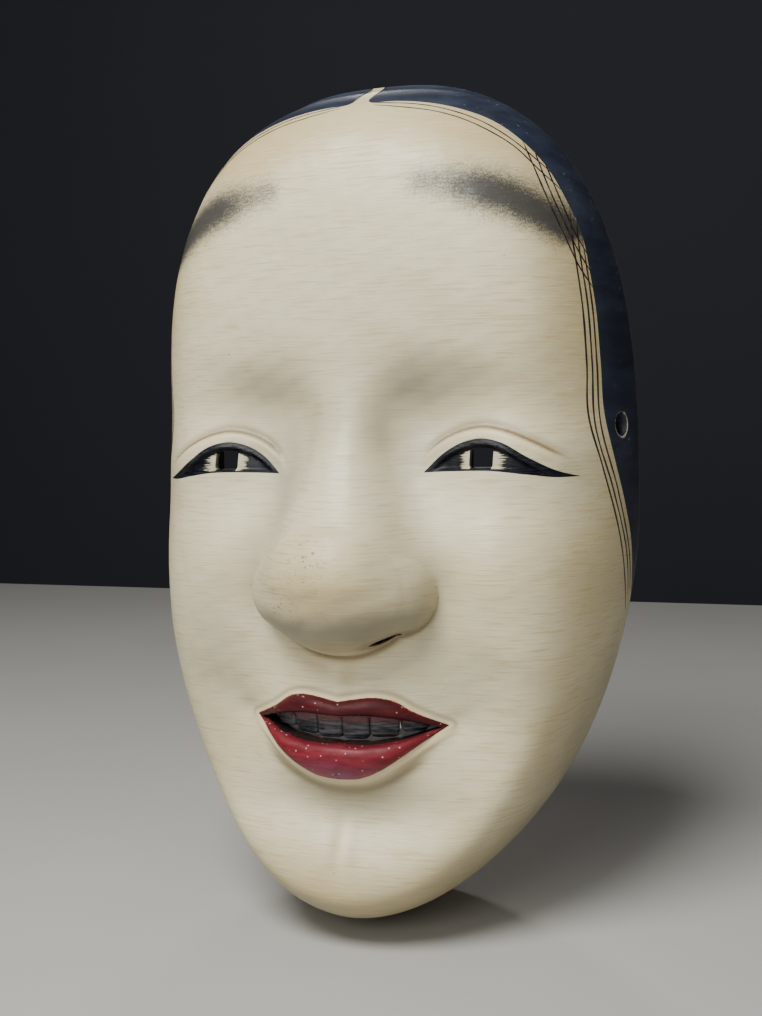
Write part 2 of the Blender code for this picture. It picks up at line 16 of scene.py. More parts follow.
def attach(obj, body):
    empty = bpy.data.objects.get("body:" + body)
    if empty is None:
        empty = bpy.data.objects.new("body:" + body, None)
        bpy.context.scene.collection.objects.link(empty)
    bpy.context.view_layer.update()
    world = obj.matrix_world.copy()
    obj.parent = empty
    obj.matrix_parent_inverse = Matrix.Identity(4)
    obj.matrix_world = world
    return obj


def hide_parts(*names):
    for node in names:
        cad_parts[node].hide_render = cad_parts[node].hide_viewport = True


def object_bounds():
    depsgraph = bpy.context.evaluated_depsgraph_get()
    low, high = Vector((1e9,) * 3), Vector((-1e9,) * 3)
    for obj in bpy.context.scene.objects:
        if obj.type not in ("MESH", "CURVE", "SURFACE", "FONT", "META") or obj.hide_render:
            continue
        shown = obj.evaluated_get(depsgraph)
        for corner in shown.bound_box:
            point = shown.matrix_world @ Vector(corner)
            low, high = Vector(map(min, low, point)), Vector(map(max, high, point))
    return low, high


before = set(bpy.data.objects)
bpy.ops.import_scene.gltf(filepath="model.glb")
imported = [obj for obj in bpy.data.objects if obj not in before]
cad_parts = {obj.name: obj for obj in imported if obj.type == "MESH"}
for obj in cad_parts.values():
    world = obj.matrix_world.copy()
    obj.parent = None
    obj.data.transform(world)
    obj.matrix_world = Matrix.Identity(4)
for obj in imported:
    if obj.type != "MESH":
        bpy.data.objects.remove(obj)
cad_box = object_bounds()

MM = 0.001

# Shape of the mask, the same as in the CAD source, in millimetres
HALF_WIDTH = 67.4
CROWN_Z = 91.5
CHIN_Z = -131.0
WIDEST_Z = -20.0
CROWN_POWER = 2.7
JAW_POWER = 1.88
COAT = 0.7
GAP = 0.3
WALL = 7.6
EYE_HOLE = (34.6, -7.7)
EYE_HOLE_SIZE = (6.2, 4.8)
CORD_HOLE_RADIUS = 3.2
CORD_HOLE = (12.5, -0.3)
NOSE_TIP, NOSE_TIP_RADII = (0, -40), (19.5, 16.8)
NOSE_WING, NOSE_WING_RADII = (13.2, -40.8), (11.2, 10.9)
NOSTRIL = (12.6, 50.5, -50.8)
NOSTRIL_RADII = (4.4, 1.5)
PARTING_HALF_WIDTH = 2.0
FLAT_SHARE = 0.86
REACH = 2.0 - FLAT_SHARE
PLATE = (
    (-131, 59), (-118, 57), (-108, 53), (-98, 49), (-84, 45.8), (-70, 44.6), (-50, 44.6),
    (-30, 45.8), (-12, 43), (5, 39.5), (22, 40.3), (40, 42), (58, 42.8), (74, 43.2), (92, 42),
)
BRIDGE = (
    (-46, 64.5), (-40, 65.2), (-34, 63.4), (-26, 58.8), (-16, 52.6), (-6, 47),
    (4, 42.4), (14, 38.8), (26, 34), (40, 26), (60, 10),
)
BRIDGE_HALF = (
    (-46, 15), (-36, 16.5), (-26, 14.6), (-14, 11.6), (-2, 10.2), (10, 13), (24, 22), (60, 40),
)
BRIDGE_DROP = 9.0
BRIDGE_POWER = 2.7

# Outlines on the +X half of the front view, as (x, z)
EYE_TOP = (
    (19.6, -11.2), (24.6, -6.5), (29.6, -3.8), (34.6, -2.9), (39.4, -3.9), (46, -7.7),
    (52.6, -11.3), (57, -12.8),
)
EYE_LOW = ((19.6, -11.2), (28, -10.9), (38, -10.9), (46, -11.9), (52.6, -12.8), (57, -12.8))
EYE_FOLD = (
    (17.5, -10), (20.3, -6.6), (24, -3.7), (28.9, -1.5), (34.4, -0.6), (39.9, -1.5), (45.8, -3.9),
    (52.4, -7.5), (58, -10.6),
)
LIP_TOP = ((0, -67.5), (5.5, -66.5), (9.5, -66.2), (13, -66.8), (19, -70.4), (26.2, -74))
LIP_INNER_TOP = ((0, -70.8), (10, -70.9), (16, -71.9), (24.6, -74.4))
LIP_INNER_LOW = ((0, -78), (9, -77.7), (16, -76.7), (24.6, -74.4))
LIP_LOW = ((0, -87.4), (5, -86.9), (10, -84.8), (15, -81.6), (19.5, -78.4), (26.2, -74))
LIP_CORNER_X = 26.2
NEAR_LIP = 9.0
HAIRLINE = (
    (2, 87.6), (2.2, 86.2), (3.1, 85.2), (5, 84.9), (8, 84.9), (18, 83.6), (27, 81.4), (36, 78), (43, 73),
    (49, 66.5),
    (54, 57.5), (57.5, 49.5), (59.4, 39), (60.6, 30), (61.4, 16), (62, 3), (64.6, -8), (68, -20),
    (70.8, -31), (72.6, -43), (73.6, -51),
)
HAIR_FOOT_W = -58.0

# Painted strands inside the hairline, on the plan: two over the forehead, three at the temple, three down
# the cheek
STRANDS = (
    ((3.5, 85), (9, 84), (17, 82.6), (26, 80), (34, 76.6), (40.8, 72.3), (46.5, 67.8), (51.3, 64.1)),
    ((4.8, 83.6), (13.4, 81.5), (21.3, 79.7), (27.8, 77.5), (34.1, 74.5), (41.7, 69.8), (47.6, 64.2),
     (53.5, 59.8)),
    ((42.9, 73.4), (45.8, 65.7), (49.7, 55.8), (53.9, 46.1), (56.9, 39.5), (60.2, 34.6)),
    ((45.8, 71.2), (49.6, 59.9), (53.8, 49.9), (57, 43.2), (59.9, 38.6)),
    ((48.4, 68), (52.5, 57), (55.9, 48.8), (59.3, 43)),
    ((54.5, 57.5), (55.2, 47.8), (56.3, 39.6), (57.4, 30.5), (58.2, 15), (58.3, 2.7), (61.7, -10.8),
     (67, -31), (69.5, -45.7), (70.3, -52)),
    ((56.2, 53.5), (57, 43.8), (58.6, 31), (59.4, 15.2), (59.7, 0.9), (64.5, -16.9), (69.4, -35.8),
     (71, -48)),
    ((57.5, 49), (58.6, 40.4), (59.8, 29.8), (60.5, 15.3), (61, 1), (65.8, -17), (70.5, -36.2), (72, -47)),
)
STRAND_WIDTH = 0.5
BROW = ((21, 60.4), (28, 59.4), (36, 57.4), (45.5, 54), (52.8, 50), (58.5, 45.5))

# Teeth: edges between them, their lower ends and how far they stand behind the lip
TOOTH_EDGES = (-19.6, -13.2, -6.5, 0.1, 6.9, 14, 20.6)
TOOTH_LOW = ((0.0, -77.5), (7.0, -77.3), (14, -76.3), (21.0, -75.0))
TOOTH_TOP = -68.2
TOOTH_SETBACK = 2.4
TOOTH_LEVEL = -70.0
TOOTH_POWER = 6.0

# Stage and camera, in metres
FLOOR_Z = cad_box[0].z - 0.0005
FLOOR_HALF = 1.6
WALL_Y, WALL_TOP = 0.55, 0.6
WALL_LEFT, WALL_RIGHT = -0.8, 0.6
MASK_MIDDLE = (0.0, -0.03, -0.02)
CAMERA_YAW, CAMERA_PITCH, CAMERA_ROLL = math.radians(19.70), math.radians(4.14), math.radians(-1.24)
CAMERA_AIM = Vector((0.0031, -0.025, -0.0212))
CAMERA_DISTANCE = 0.3292

# Mesh spacings on the plan; each triangle is split in four once more
COARSE = 1.7
FINE = 0.9
LINE = 1.2
FINE_AREAS = (
    (0, -38, 27, 22), (0, -76, 31, 15), (38, -7.5, 23, 10), (-38, -7.5, 23, 10),
    (67.3, 0.7, 6.5, 6.5), (-67.3, 0.7, 6.5, 6.5),
)
TURN_IN = 0.9
LONGEST_EDGE = 9.0


def step(value, low, high):
    """0 below low, 1 above high, smooth between."""
    t = np.clip((value - low) / (high - low), 0.0, 1.0)
    return t * t * (3.0 - 2.0 * t)


def through(points, at):
    """Smooth curve through (x, y) points, read at x = at."""
    knots, values = np.array(points, float).T
    slopes = np.gradient(values, knots)
    at = np.clip(at, knots[0], knots[-1])
    i = np.clip(np.searchsorted(knots, at, side="right") - 1, 0, len(knots) - 2)
    span = knots[i + 1] - knots[i]
    t = (at - knots[i]) / span
    start = (2.0 * t**3 - 3.0 * t**2 + 1.0) * values[i] + (t**3 - 2.0 * t**2 + t) * span * slopes[i]
    end = (3.0 * t**2 - 2.0 * t**3) * values[i + 1] + (t**3 - t**2) * span * slopes[i + 1]
    return start + end


def swell(x, z, centre_x, centre_z, size_x, size_z, turn=0.0):
    """Rounded hill of height 1, turned by some degrees."""
    angle = math.radians(turn)
    dx, dz = x - centre_x, z - centre_z
    along = dx * math.cos(angle) + dz * math.sin(angle)
    across = dz * math.cos(angle) - dx * math.sin(angle)
    return np.exp(-0.5 * ((along / size_x) ** 2 + (across / size_z) ** 2))


def hills(x, z, *rows):
    """Sum of swells, each row its height, centre, sizes and turn."""
    return sum(height * swell(x, z, *rest) for height, *rest in rows)


def bell(value, width):
    return np.exp(-0.5 * (value / width) ** 2)


def meet(a, b, blend):
    """The larger of a and b, with the corner between them rounded."""
    return 0.5 * (a + b + np.sqrt((a - b) ** 2 + blend * blend))


def outline_radius(cosine, sine):
    power = JAW_POWER + (CROWN_POWER - JAW_POWER) * step(sine, -0.34, 0.34)
    height = np.where(sine > 0.0, CROWN_Z - WIDEST_Z, WIDEST_Z - CHIN_Z)
    return (np.abs(cosine / HALF_WIDTH) ** power + np.abs(sine / height) ** power) ** (-1.0 / power)


def roll_off(share, sine):
    power = 4.2 + np.where(sine > 0.0, 3.6, 15.0) * sine * sine
    root = 1.6 + 0.1 * sine * sine
    return np.clip(1.0 - share**power, 0.0, 1.0) ** (1.0 / root)


def cap(x, z, centre, radii, base, height):
    rho = np.hypot((x - centre[0]) / radii[0], (z - centre[1]) / radii[1])
    return base + height * np.sqrt(np.clip(1.0 - rho * rho, 0.0, 1.0)) - 34.0 * np.clip(rho - 1.0, 0.0, None)


def relief(x, z):
    """Hollows and swellings of the face over the plain plate."""
    return hills(
        np.abs(x), z,
        (-2.2, 26, 4, 16, 8, -10), (-5.0, 22, -8, 13, 11, -4), (3.4, 37, -7, 12.5, 6, -6),
        (2.2, 37, -40, 15, 17), (-3.6, 24.5, -38, 6.5, 13, -6), (-1.2, 60, -2, 9, 16), (7.6, 0, -74, 16, 14),
        (-3.6, 29, -73, 8.5, 10.5, 20),
        (-2.2, 47, -82, 14, 18, 24), (-4.6, 0, -96, 20, 6.2), (0.6, 0, -110, 14, 10),
    )


def nose(x, z, depth):
    a = np.abs(x)
    ridge = through(BRIDGE, z) - BRIDGE_DROP * (a / through(BRIDGE_HALF, z)) ** BRIDGE_POWER
    ridge -= 0.13 * np.clip(-36.0 - z, 0.0, None) ** 2
    tip = cap(a, z, NOSE_TIP, NOSE_TIP_RADII, 44.0, 22.0)
    wing = cap(a, z, NOSE_WING, NOSE_WING_RADII, 41.0, 17.5)
    blend = 1.5 + 7.5 * step(z, -44, -24)
    return meet(meet(depth, ridge, 5.0), meet(tip, wing, 5.0), blend)


def lip_swell(x, z):
    """Roundness of the two lips, thinning out to the corners."""
    a = np.abs(x)
    fullness = 1.0 - step(a, 13, LIP_CORNER_X)
    height = np.zeros_like(a)
    for low, high, tall in ((LIP_INNER_TOP, LIP_TOP, 2.0), (LIP_LOW, LIP_INNER_LOW, 2.9)):
        foot, crown = through(low, a), through(high, a)
        share = np.clip((z - foot) / np.maximum(crown - foot, 0.3), 0.0, 1.0)
        height += tall * fullness * np.sqrt(np.clip(4.0 * share * (1.0 - share), 0.0, 1.0))
    return height


def lip_distance(x, z):
    """How far a point lies outside the edge of the lips, in the front view."""
    half = np.concatenate([edge_line(LIP_TOP, 1.0), edge_line(LIP_LOW, 1.0)[::-1]])
    a = np.abs(x)
    near = (a < 34.0) & (np.abs(z + 77.0) < 18.0)
    gap = np.full(a.shape, NEAR_LIP)
    points = np.stack([a[near], z[near]], axis=-1)
    run = np.diff(half, axis=0)
    nearest = np.full(len(points), NEAR_LIP)
    for start, edge in zip(half[:-1], run):
        if edge @ edge < 1e-9:
            continue
        rel = points - start
        t = np.clip((rel @ edge) / (edge @ edge), 0.0, 1.0)
        nearest = np.minimum(nearest, np.linalg.norm(rel - t[:, None] * edge, axis=1))
    px, pz = points.T
    within = (pz < through(LIP_TOP, px)) & (pz > through(LIP_LOW, px)) & (px < LIP_CORNER_X)
    gap[near] = np.where(within, -nearest, nearest)
    return gap


def lid_gap(x, z):
    """Height above the crease of the upper lid, and how much of the crease there is at that place."""
    a = np.abs(x)
    there = step(a, 17.5, 23) * (1.0 - step(a, 50, 57.5))
    return z - through(EYE_FOLD, a), there


def fine_relief(x, z):
    """Small carved detail: lid roll, sunk eye, lip ridge, groove over the lip, dimples, waviness."""
    a = np.abs(x)
    gap, there = lid_gap(x, z)
    depth = 0.95 * there * bell(gap, np.where(gap < 0.0, 1.5, 0.35))
    depth -= 0.5 * there * bell(gap - 0.9, 0.8)

    below, above = through(EYE_TOP, a) - z, z - through(EYE_LOW, a)
    in_eye = (a > 19.6) & (a < 57.0) & (below > 0.0) & (above > 0.0)
    open_eye = step(a, 19.6, 26) * (1.0 - step(a, 46, 56))
    lash = 0.45 * np.sin(np.clip(below / 1.9, 0.0, 1.0) * math.pi) - 1.0 * step(below, 1.3, 2.5)
    lash *= step(above, 0, 1)
    depth += np.where(in_eye, open_eye * lash, 0.0)

    edge = lip_distance(x, z)
    lower = 1.0 - step(z, -77.5, -72.5)
    tail = 1.0 - 0.55 * step(a, 17, 26)
    ridge = lower * 1.25 * (1.0 - step(edge, 1.3, 2.9)) + (1.0 - lower) * 0.5 * (1.0 - step(edge, 0.5, 1.6))
    depth += tail * ridge

    depth += hills(
        a, z, (0.4, 0, -104, 1.5, 4.2), (-0.9, 0, -61.5, 2.4, 4.5), (-1.0, 28.2, -74, 3, 2.6),
        (-0.8, 18, 1, 13, 9),
    )
    depth += 0.10 * np.sin(0.31 * x + 0.19 * z + 1.0) * np.sin(0.27 * z - 0.11 * x)
    depth += 0.05 * np.sin(0.83 * x - 0.37 * z) * np.sin(0.71 * z + 0.29 * x + 2.0)
    return depth


def polar(u, w):
    radius = np.maximum(np.hypot(u, w - WIDEST_Z), 1e-6)
    return radius, u / radius, (w - WIDEST_Z) / radius


def rolled(u, w):
    """Front-view place of a plan point: x, z, share of the way to the rim, outline radius there and sine."""
    radius, cosine, sine = polar(u, w)
    edge = outline_radius(cosine, sine)
    t = np.minimum(radius / edge, REACH)
    share = np.where(t < FLAT_SHARE, t, 1.0 - (REACH - t) ** 2 / (4.0 * (1.0 - FLAT_SHARE)))
    return share * edge * cosine, WIDEST_Z + share * edge * sine, share, edge, sine, t


def front(u, w, inset=0.0):
    """Point of the front surface over plan point (u, w), moved inwards by inset."""
    x, z, share, edge, sine, t = rolled(u, w)
    fall = roll_off(share, sine)
    window = 1.0 - step(share, 0.80, 0.99)
    depth = nose(x, z, fall * through(PLATE, z) + window * relief(x, z))
    depth += window * (lip_swell(x, z) + fine_relief(x, z))
    depth = np.where(t > 0.9995 * REACH, 0.0, depth - inset * fall)
    keep = 1.0 - inset / edge
    return np.stack([x * keep, -depth, WIDEST_Z + (z - WIDEST_Z) * keep], axis=-1)


def gouge(u, w):
    """Shallow overlapping tool cuts, longer than wide, each row started at its own place."""
    across = (u + 1.6 * np.sin(w / 19.0) + 0.8 * np.sin(w / 7.0 + 1.0)) / 5.2
    row = np.floor(across)
    start = np.modf(np.abs(np.sin(row * 12.9898) * 43758.5453))[0]
    along = (w + 2.0 * np.sin(u / 9.0)) / (13.0 + 4.0 * start) + start
    f, g = 2.0 * (across - row) - 1.0, 2.0 * (along - np.floor(along)) - 1.0
    return 0.48 * f * f + 0.26 * g * g


def hollow(u, w):
    """Point of the carved hollow inside, over the same plan."""
    x, z, share, edge, sine, _ = rolled(u, w)
    keep = 1.0 - (COAT + GAP + WALL) / edge
    x, z = x * keep, WIDEST_Z + (z - WIDEST_Z) * keep
    depth = through(PLATE, z) - WALL - COAT - GAP
    depth += hills(
        np.abs(x), z,
        (-5.2, 23, -5, 19, 15), (-2.4, 29, -73, 12, 14), (-3.2, 0, -96, 26, 10), (13.0, 0, -37, 9.5, 11),
    )
    fall = roll_off(share, sine)
    cuts = (gouge(u, w) - 0.3) * (1.0 - step(share, 0.985, 1))
    return np.stack([x, -(depth * fall - cuts), z], axis=-1)


def unroll(x, z):
    """Plan point under front-view point (x, z)."""
    radius, cosine, sine = polar(x, z)
    edge = outline_radius(cosine, sine)
    share = np.minimum(radius / edge, 1.0)
    t = np.where(share < FLAT_SHARE, share, REACH - np.sqrt(4.0 * (1.0 - FLAT_SHARE) * (1.0 - share)))
    return np.stack([t * edge * cosine, WIDEST_Z + t * edge * sine], axis=-1)


def skin_depth(x, z):
    """Depth of the front surface over front-view points."""
    return -front(*unroll(x, z).T)[:, 1]


def rim_point(angle):
    edge = outline_radius(np.cos(angle), np.sin(angle)) * REACH
    return np.stack([edge * np.cos(angle), WIDEST_Z + edge * np.sin(angle)], axis=-1)


def mirrored(points):
    return points * np.array([-1.0, 1.0])


def edge_line(points, spacing):
    """Evenly spaced points along a smooth curve through points."""
    points = np.array(points, float)
    grown = np.concatenate([[0.0], np.cumsum(np.linalg.norm(np.diff(points, axis=0), axis=1))])
    at = np.linspace(0.0, grown[-1], max(2, round(grown[-1] / spacing) + 1))
    return np.stack([through(list(zip(grown, points[:, k])), at) for k in (0, 1)], axis=-1)


def lens(upper, lower, spacing):
    """Loop between two half curves, mirrored to both sides of the middle."""
    right = np.concatenate([edge_line(upper, spacing), edge_line(lower, spacing)[::-1]])
    return unroll(*np.concatenate([right, mirrored(right)[::-1][1:-1]]).T)


def lip_loop(outer, inner, spacing):
    """Loop round one lip: its outer edge from corner to corner and its inner edge back."""
    runs = [edge_line(outer, spacing), edge_line(inner, spacing)]
    out, back = (np.concatenate([mirrored(run)[::-1][:-1], run]) for run in runs)
    return unroll(*np.concatenate([out, back[::-1]]).T)


def eye_loop():
    top, low = edge_line(EYE_TOP, FINE), edge_line(EYE_LOW, FINE)[::-1]
    return unroll(*np.concatenate([top[:-1], low[:-1]]).T)


def rim_angles():
    """Even steps round the rim, with one point more at each edge of the parting."""
    parting = math.atan(PARTING_HALF_WIDTH / ((CROWN_Z - WIDEST_Z) * REACH))
    even = np.linspace(0.0, 2.0 * math.pi, 420, endpoint=False)
    return math.pi / 2.0 + np.sort(np.concatenate([even, [parting, 2.0 * math.pi - parting]]))


def hair_loop():
    """Loop round the +X hair: up the rim to the parting, then down the hairline."""
    rim = rim_point(rim_angles())
    rim = rim[(rim[:, 0] > 0.9 * PARTING_HALF_WIDTH) & (rim[:, 1] > HAIR_FOOT_W)]
    return np.concatenate([rim[np.argsort(rim[:, 1])], edge_line(HAIRLINE, LINE)])


def inside(loop, points):
    """Which points lie inside the loop."""
    crossed = np.zeros(len(points), int)
    px, py = points.T
    for (ax, ay), (bx, by) in zip(loop, np.roll(loop, -1, axis=0)):
        if ay != by:
            spans = (ay > py) != (by > py)
            crossed += spans & (px < (bx - ax) * (py - ay) / (by - ay) + ax)
    return crossed % 2 == 1


def clear_of(runs, points, spacing):
    """Which points keep half a spacing from every point of the runs' edges."""
    clear = np.ones(len(points), bool)
    for run in runs:
        for start, edge in zip(run, np.roll(run, -1, axis=0) - run):
            near = np.abs(points - start).max(axis=1) < 0.5 * spacing + np.abs(edge).max()
            if not near.any() or np.abs(edge).max() > LONGEST_EDGE:
                continue
            rel = points[near] - start
            t = np.clip((rel @ edge) / max(edge @ edge, 1e-12), 0.0, 1.0)
            clear[near] &= np.linalg.norm(rel - t[:, None] * edge, axis=1) > 0.5 * spacing[near]
    return clear


def lattice(spacing):
    """Points of a triangular grid over the plan, mirrored about the middle."""
    points = []
    for k, w in enumerate(np.arange(-160.0, 120.0, spacing * math.sqrt(0.75))):
        across = np.arange(0.5 * spacing * (k % 2), 90.0, spacing)
        across = np.concatenate([-across[across > 0.0], across])
        points.append(np.stack([across, np.full(len(across), w)], axis=-1))
    points = np.concatenate(points)
    radius, cosine, sine = polar(*points.T)
    return points[radius < REACH * outline_radius(cosine, sine) - 0.45 * spacing]


def in_fine_area(points):
    hit = np.zeros(len(points), bool)
    for u, w, half_u, half_w in FINE_AREAS:
        hit |= np.hypot((points[:, 0] - u) / half_u, (points[:, 1] - w) / half_w) < 1.0
    return hit


def triangulate(loops, lines, scattered):
    """Triangles of the plan that keep every loop and line as edges, all anticlockwise: (points, faces)."""
    edges, first = [], 0
    for k, run in enumerate(loops + lines):
        edges += [(first + j, first + j + 1) for j in range(len(run) - 1)]
        if k < len(loops):
            edges.append((first + len(run) - 1, first))
        first += len(run)
    points = [Vector(p) for run in loops + lines + [scattered] for p in run]
    found = delaunay_2d_cdt(points, edges, [], 0, 1e-5)
    plan, faces = np.array([tuple(p) for p in found[0]]), np.array(found[2])
    a, b, c = (plan[faces[:, k]] for k in range(3))
    area = (b[:, 0] - a[:, 0]) * (c[:, 1] - a[:, 1]) - (b[:, 1] - a[:, 1]) * (c[:, 0] - a[:, 0])
    return plan, np.where((area < 0.0)[:, None], faces[:, ::-1], faces)


def split_in_four(plan, faces):
    """Each triangle as four, with a new point at the middle of each edge."""
    ends = np.sort(np.concatenate([faces[:, [0, 1]], faces[:, [1, 2]], faces[:, [2, 0]]]), axis=1)
    edges, index = np.unique(ends, axis=0, return_inverse=True)
    ab, bc, ca = (index.reshape(3, -1) + len(plan))
    a, b, c = faces.T
    plan = np.concatenate([plan, plan[edges].mean(axis=1)])
    four = [np.stack(f, axis=-1) for f in ((a, ab, ca), (ab, b, bc), (ca, bc, c), (ab, bc, ca))]
    return plan, np.concatenate(four)


def border(faces):
    """Directed edges that only one face uses."""
    pairs = np.concatenate([faces[:, [0, 1]], faces[:, [1, 2]], faces[:, [2, 0]]]).astype(np.int64)
    size = int(faces.max()) + 1
    return pairs[~np.isin(pairs[:, 0] * size + pairs[:, 1], pairs[:, 1] * size + pairs[:, 0])]


def used_only(plan, faces):
    used, faces = np.unique(faces, return_inverse=True)
    return plan[used], faces.reshape(-1, 3)


def pierce(plan, faces, level):
    """The part of a sheet where level is above zero, cut along its zero line. New points come last."""
    level = np.where(np.abs(level) < 1e-3, 1e-3, level)
    out = level[faces] < 0.0
    kept = faces[~out.any(axis=1)].tolist()
    added, made = [], {}

    def crossing(a, b):
        key = (min(a, b), max(a, b))
        if key not in made:
            t = level[a] / (level[a] - level[b])
            made[key] = len(plan) + len(added)
            added.append(plan[a] + (plan[b] - plan[a]) * t)
        return made[key]

    for face in faces[out.any(axis=1) & ~out.all(axis=1)]:
        marks = [level[k] < 0.0 for k in face]
        odd = marks.index(sum(marks) == 1)
        a, b, c = (int(face[(odd + k) % 3]) for k in range(3))
        ab, ca = crossing(a, b), crossing(c, a)
        if sum(marks) == 1:
            kept += [(ab, b, c), (ab, c, ca)]
        else:
            kept.append((a, ab, ca))
    return np.concatenate([plan, added]) if added else plan, np.array(kept)


def placed(name, data):
    obj = bpy.data.objects.new(name, data)
    bpy.context.scene.collection.objects.link(obj)
    return obj


def mesh_object(name, points, faces, mat, smooth_angle=38.0):
    mesh = bpy.data.meshes.new(name)
    mesh.from_pydata((np.asarray(points) * MM).tolist(), [], [tuple(map(int, f)) for f in faces])
    mesh.validate()
    mesh.materials.append(mat)
    mesh.shade_smooth()
    mesh.set_sharp_from_angle(angle=math.radians(smooth_angle))
    return placed(name, mesh)


def mark(obj, **values):
    """Stores a float per point for the material to read."""
    for name, value in values.items():
        attribute = obj.data.attributes.new(name, "FLOAT", "POINT")
        attribute.data.foreach_set("value", np.asarray(value, np.float32))


def points_of(obj):
    """x, z and depth of an object's points, in millimetres."""
    flat = np.empty(len(obj.data.vertices) * 3, np.float32)
    obj.data.vertices.foreach_get("co", flat)
    x, y, z = flat.reshape(-1, 3).astype(float).T / MM
    return x, z, -y


def skin(name, plan, faces, mat, walls=()):
    """Painted skin over faces of the plan. Its border turns in, or follows a wall: (points, [stations])."""
    plan, faces = used_only(plan, faces)
    points = front(*plan.T)
    edges = border(faces)
    faces = faces.tolist()
    turned = np.ones(len(edges), bool)
    walls = [(chosen(plan, points), stations) for chosen, stations in walls]
    jobs = []
    for chosen, stations in walls:
        both = chosen[edges].all(axis=1)
        jobs.append((edges[both], stations))
        turned &= ~both
    jobs.append((edges[turned], [lambda plan, points: front(*plan.T, TURN_IN)]))
    for pairs, stations in jobs:
        if not len(pairs):
            continue
        ring, pairs = np.unique(pairs, return_inverse=True)
        pairs = pairs.reshape(-1, 2)
        last, at = ring, points[ring]
        for station in stations:
            at = station(plan[ring], at)
            new = np.arange(len(ring)) + len(points)
            points = np.concatenate([points, at])
            faces += [(last[b], last[a], new[a], new[b]) for a, b in pairs]
            last = new
    return mesh_object(name, points, faces, mat)


def pupil_level(points, side):
    """Above zero outside the square pierced pupil."""
    dx = np.abs(points[:, 0] - side * EYE_HOLE[0]) / (0.5 * EYE_HOLE_SIZE[0])
    dz = np.abs(points[:, 2] - EYE_HOLE[1]) / (0.5 * EYE_HOLE_SIZE[1])
    return (dx**9 + dz**9) ** (1.0 / 9.0) - 1.0


def cord_level(points, side):
    """Above zero outside the round cord hole in the side wall."""
    rho = np.hypot(points[:, 1] + CORD_HOLE[0], points[:, 2] - CORD_HOLE[1]) / CORD_HOLE_RADIUS
    return np.where(side * points[:, 0] > 50.0, rho - 1.0, 1.0)


def nostril_axes(side):
    centre = np.array([side * NOSTRIL[0], -NOSTRIL[1], NOSTRIL[2]])
    drill = np.array([-side * 0.28, 0.62, 0.74])
    drill /= np.linalg.norm(drill)
    along = np.array([side * 0.95, 0.30, -0.05])
    along -= drill * (along @ drill)
    along /= np.linalg.norm(along)
    return centre, drill, along, np.cross(drill, along)


def nostril_place(points, side):
    """How many radii each point is from the nostril's axis, and how far along the axis it is."""
    centre, drill, along, across = nostril_axes(side)
    rel = points - centre
    return np.hypot(rel @ along / NOSTRIL_RADII[0], rel @ across / NOSTRIL_RADII[1]), rel @ drill


def nostril_level(points, side):
    """Above zero outside the slanting nostril."""
    rho, deep = nostril_place(points, side)
    near = (np.abs(deep) < 9.0) & (points[:, 2] < -44.0)
    return np.where(near, rho - 1.0, 1.0)


# ------------------------------------------------------------------ materials


def paint(red, green, blue):
    """Linear colour of an sRGB one given from 0 to 255."""
    share = np.array([red, green, blue]) / 255.0
    linear = np.where(share < 0.04045, share / 12.92, ((share + 0.055) / 1.055) ** 2.4)
    return (*(float(c) for c in linear), 1.0)


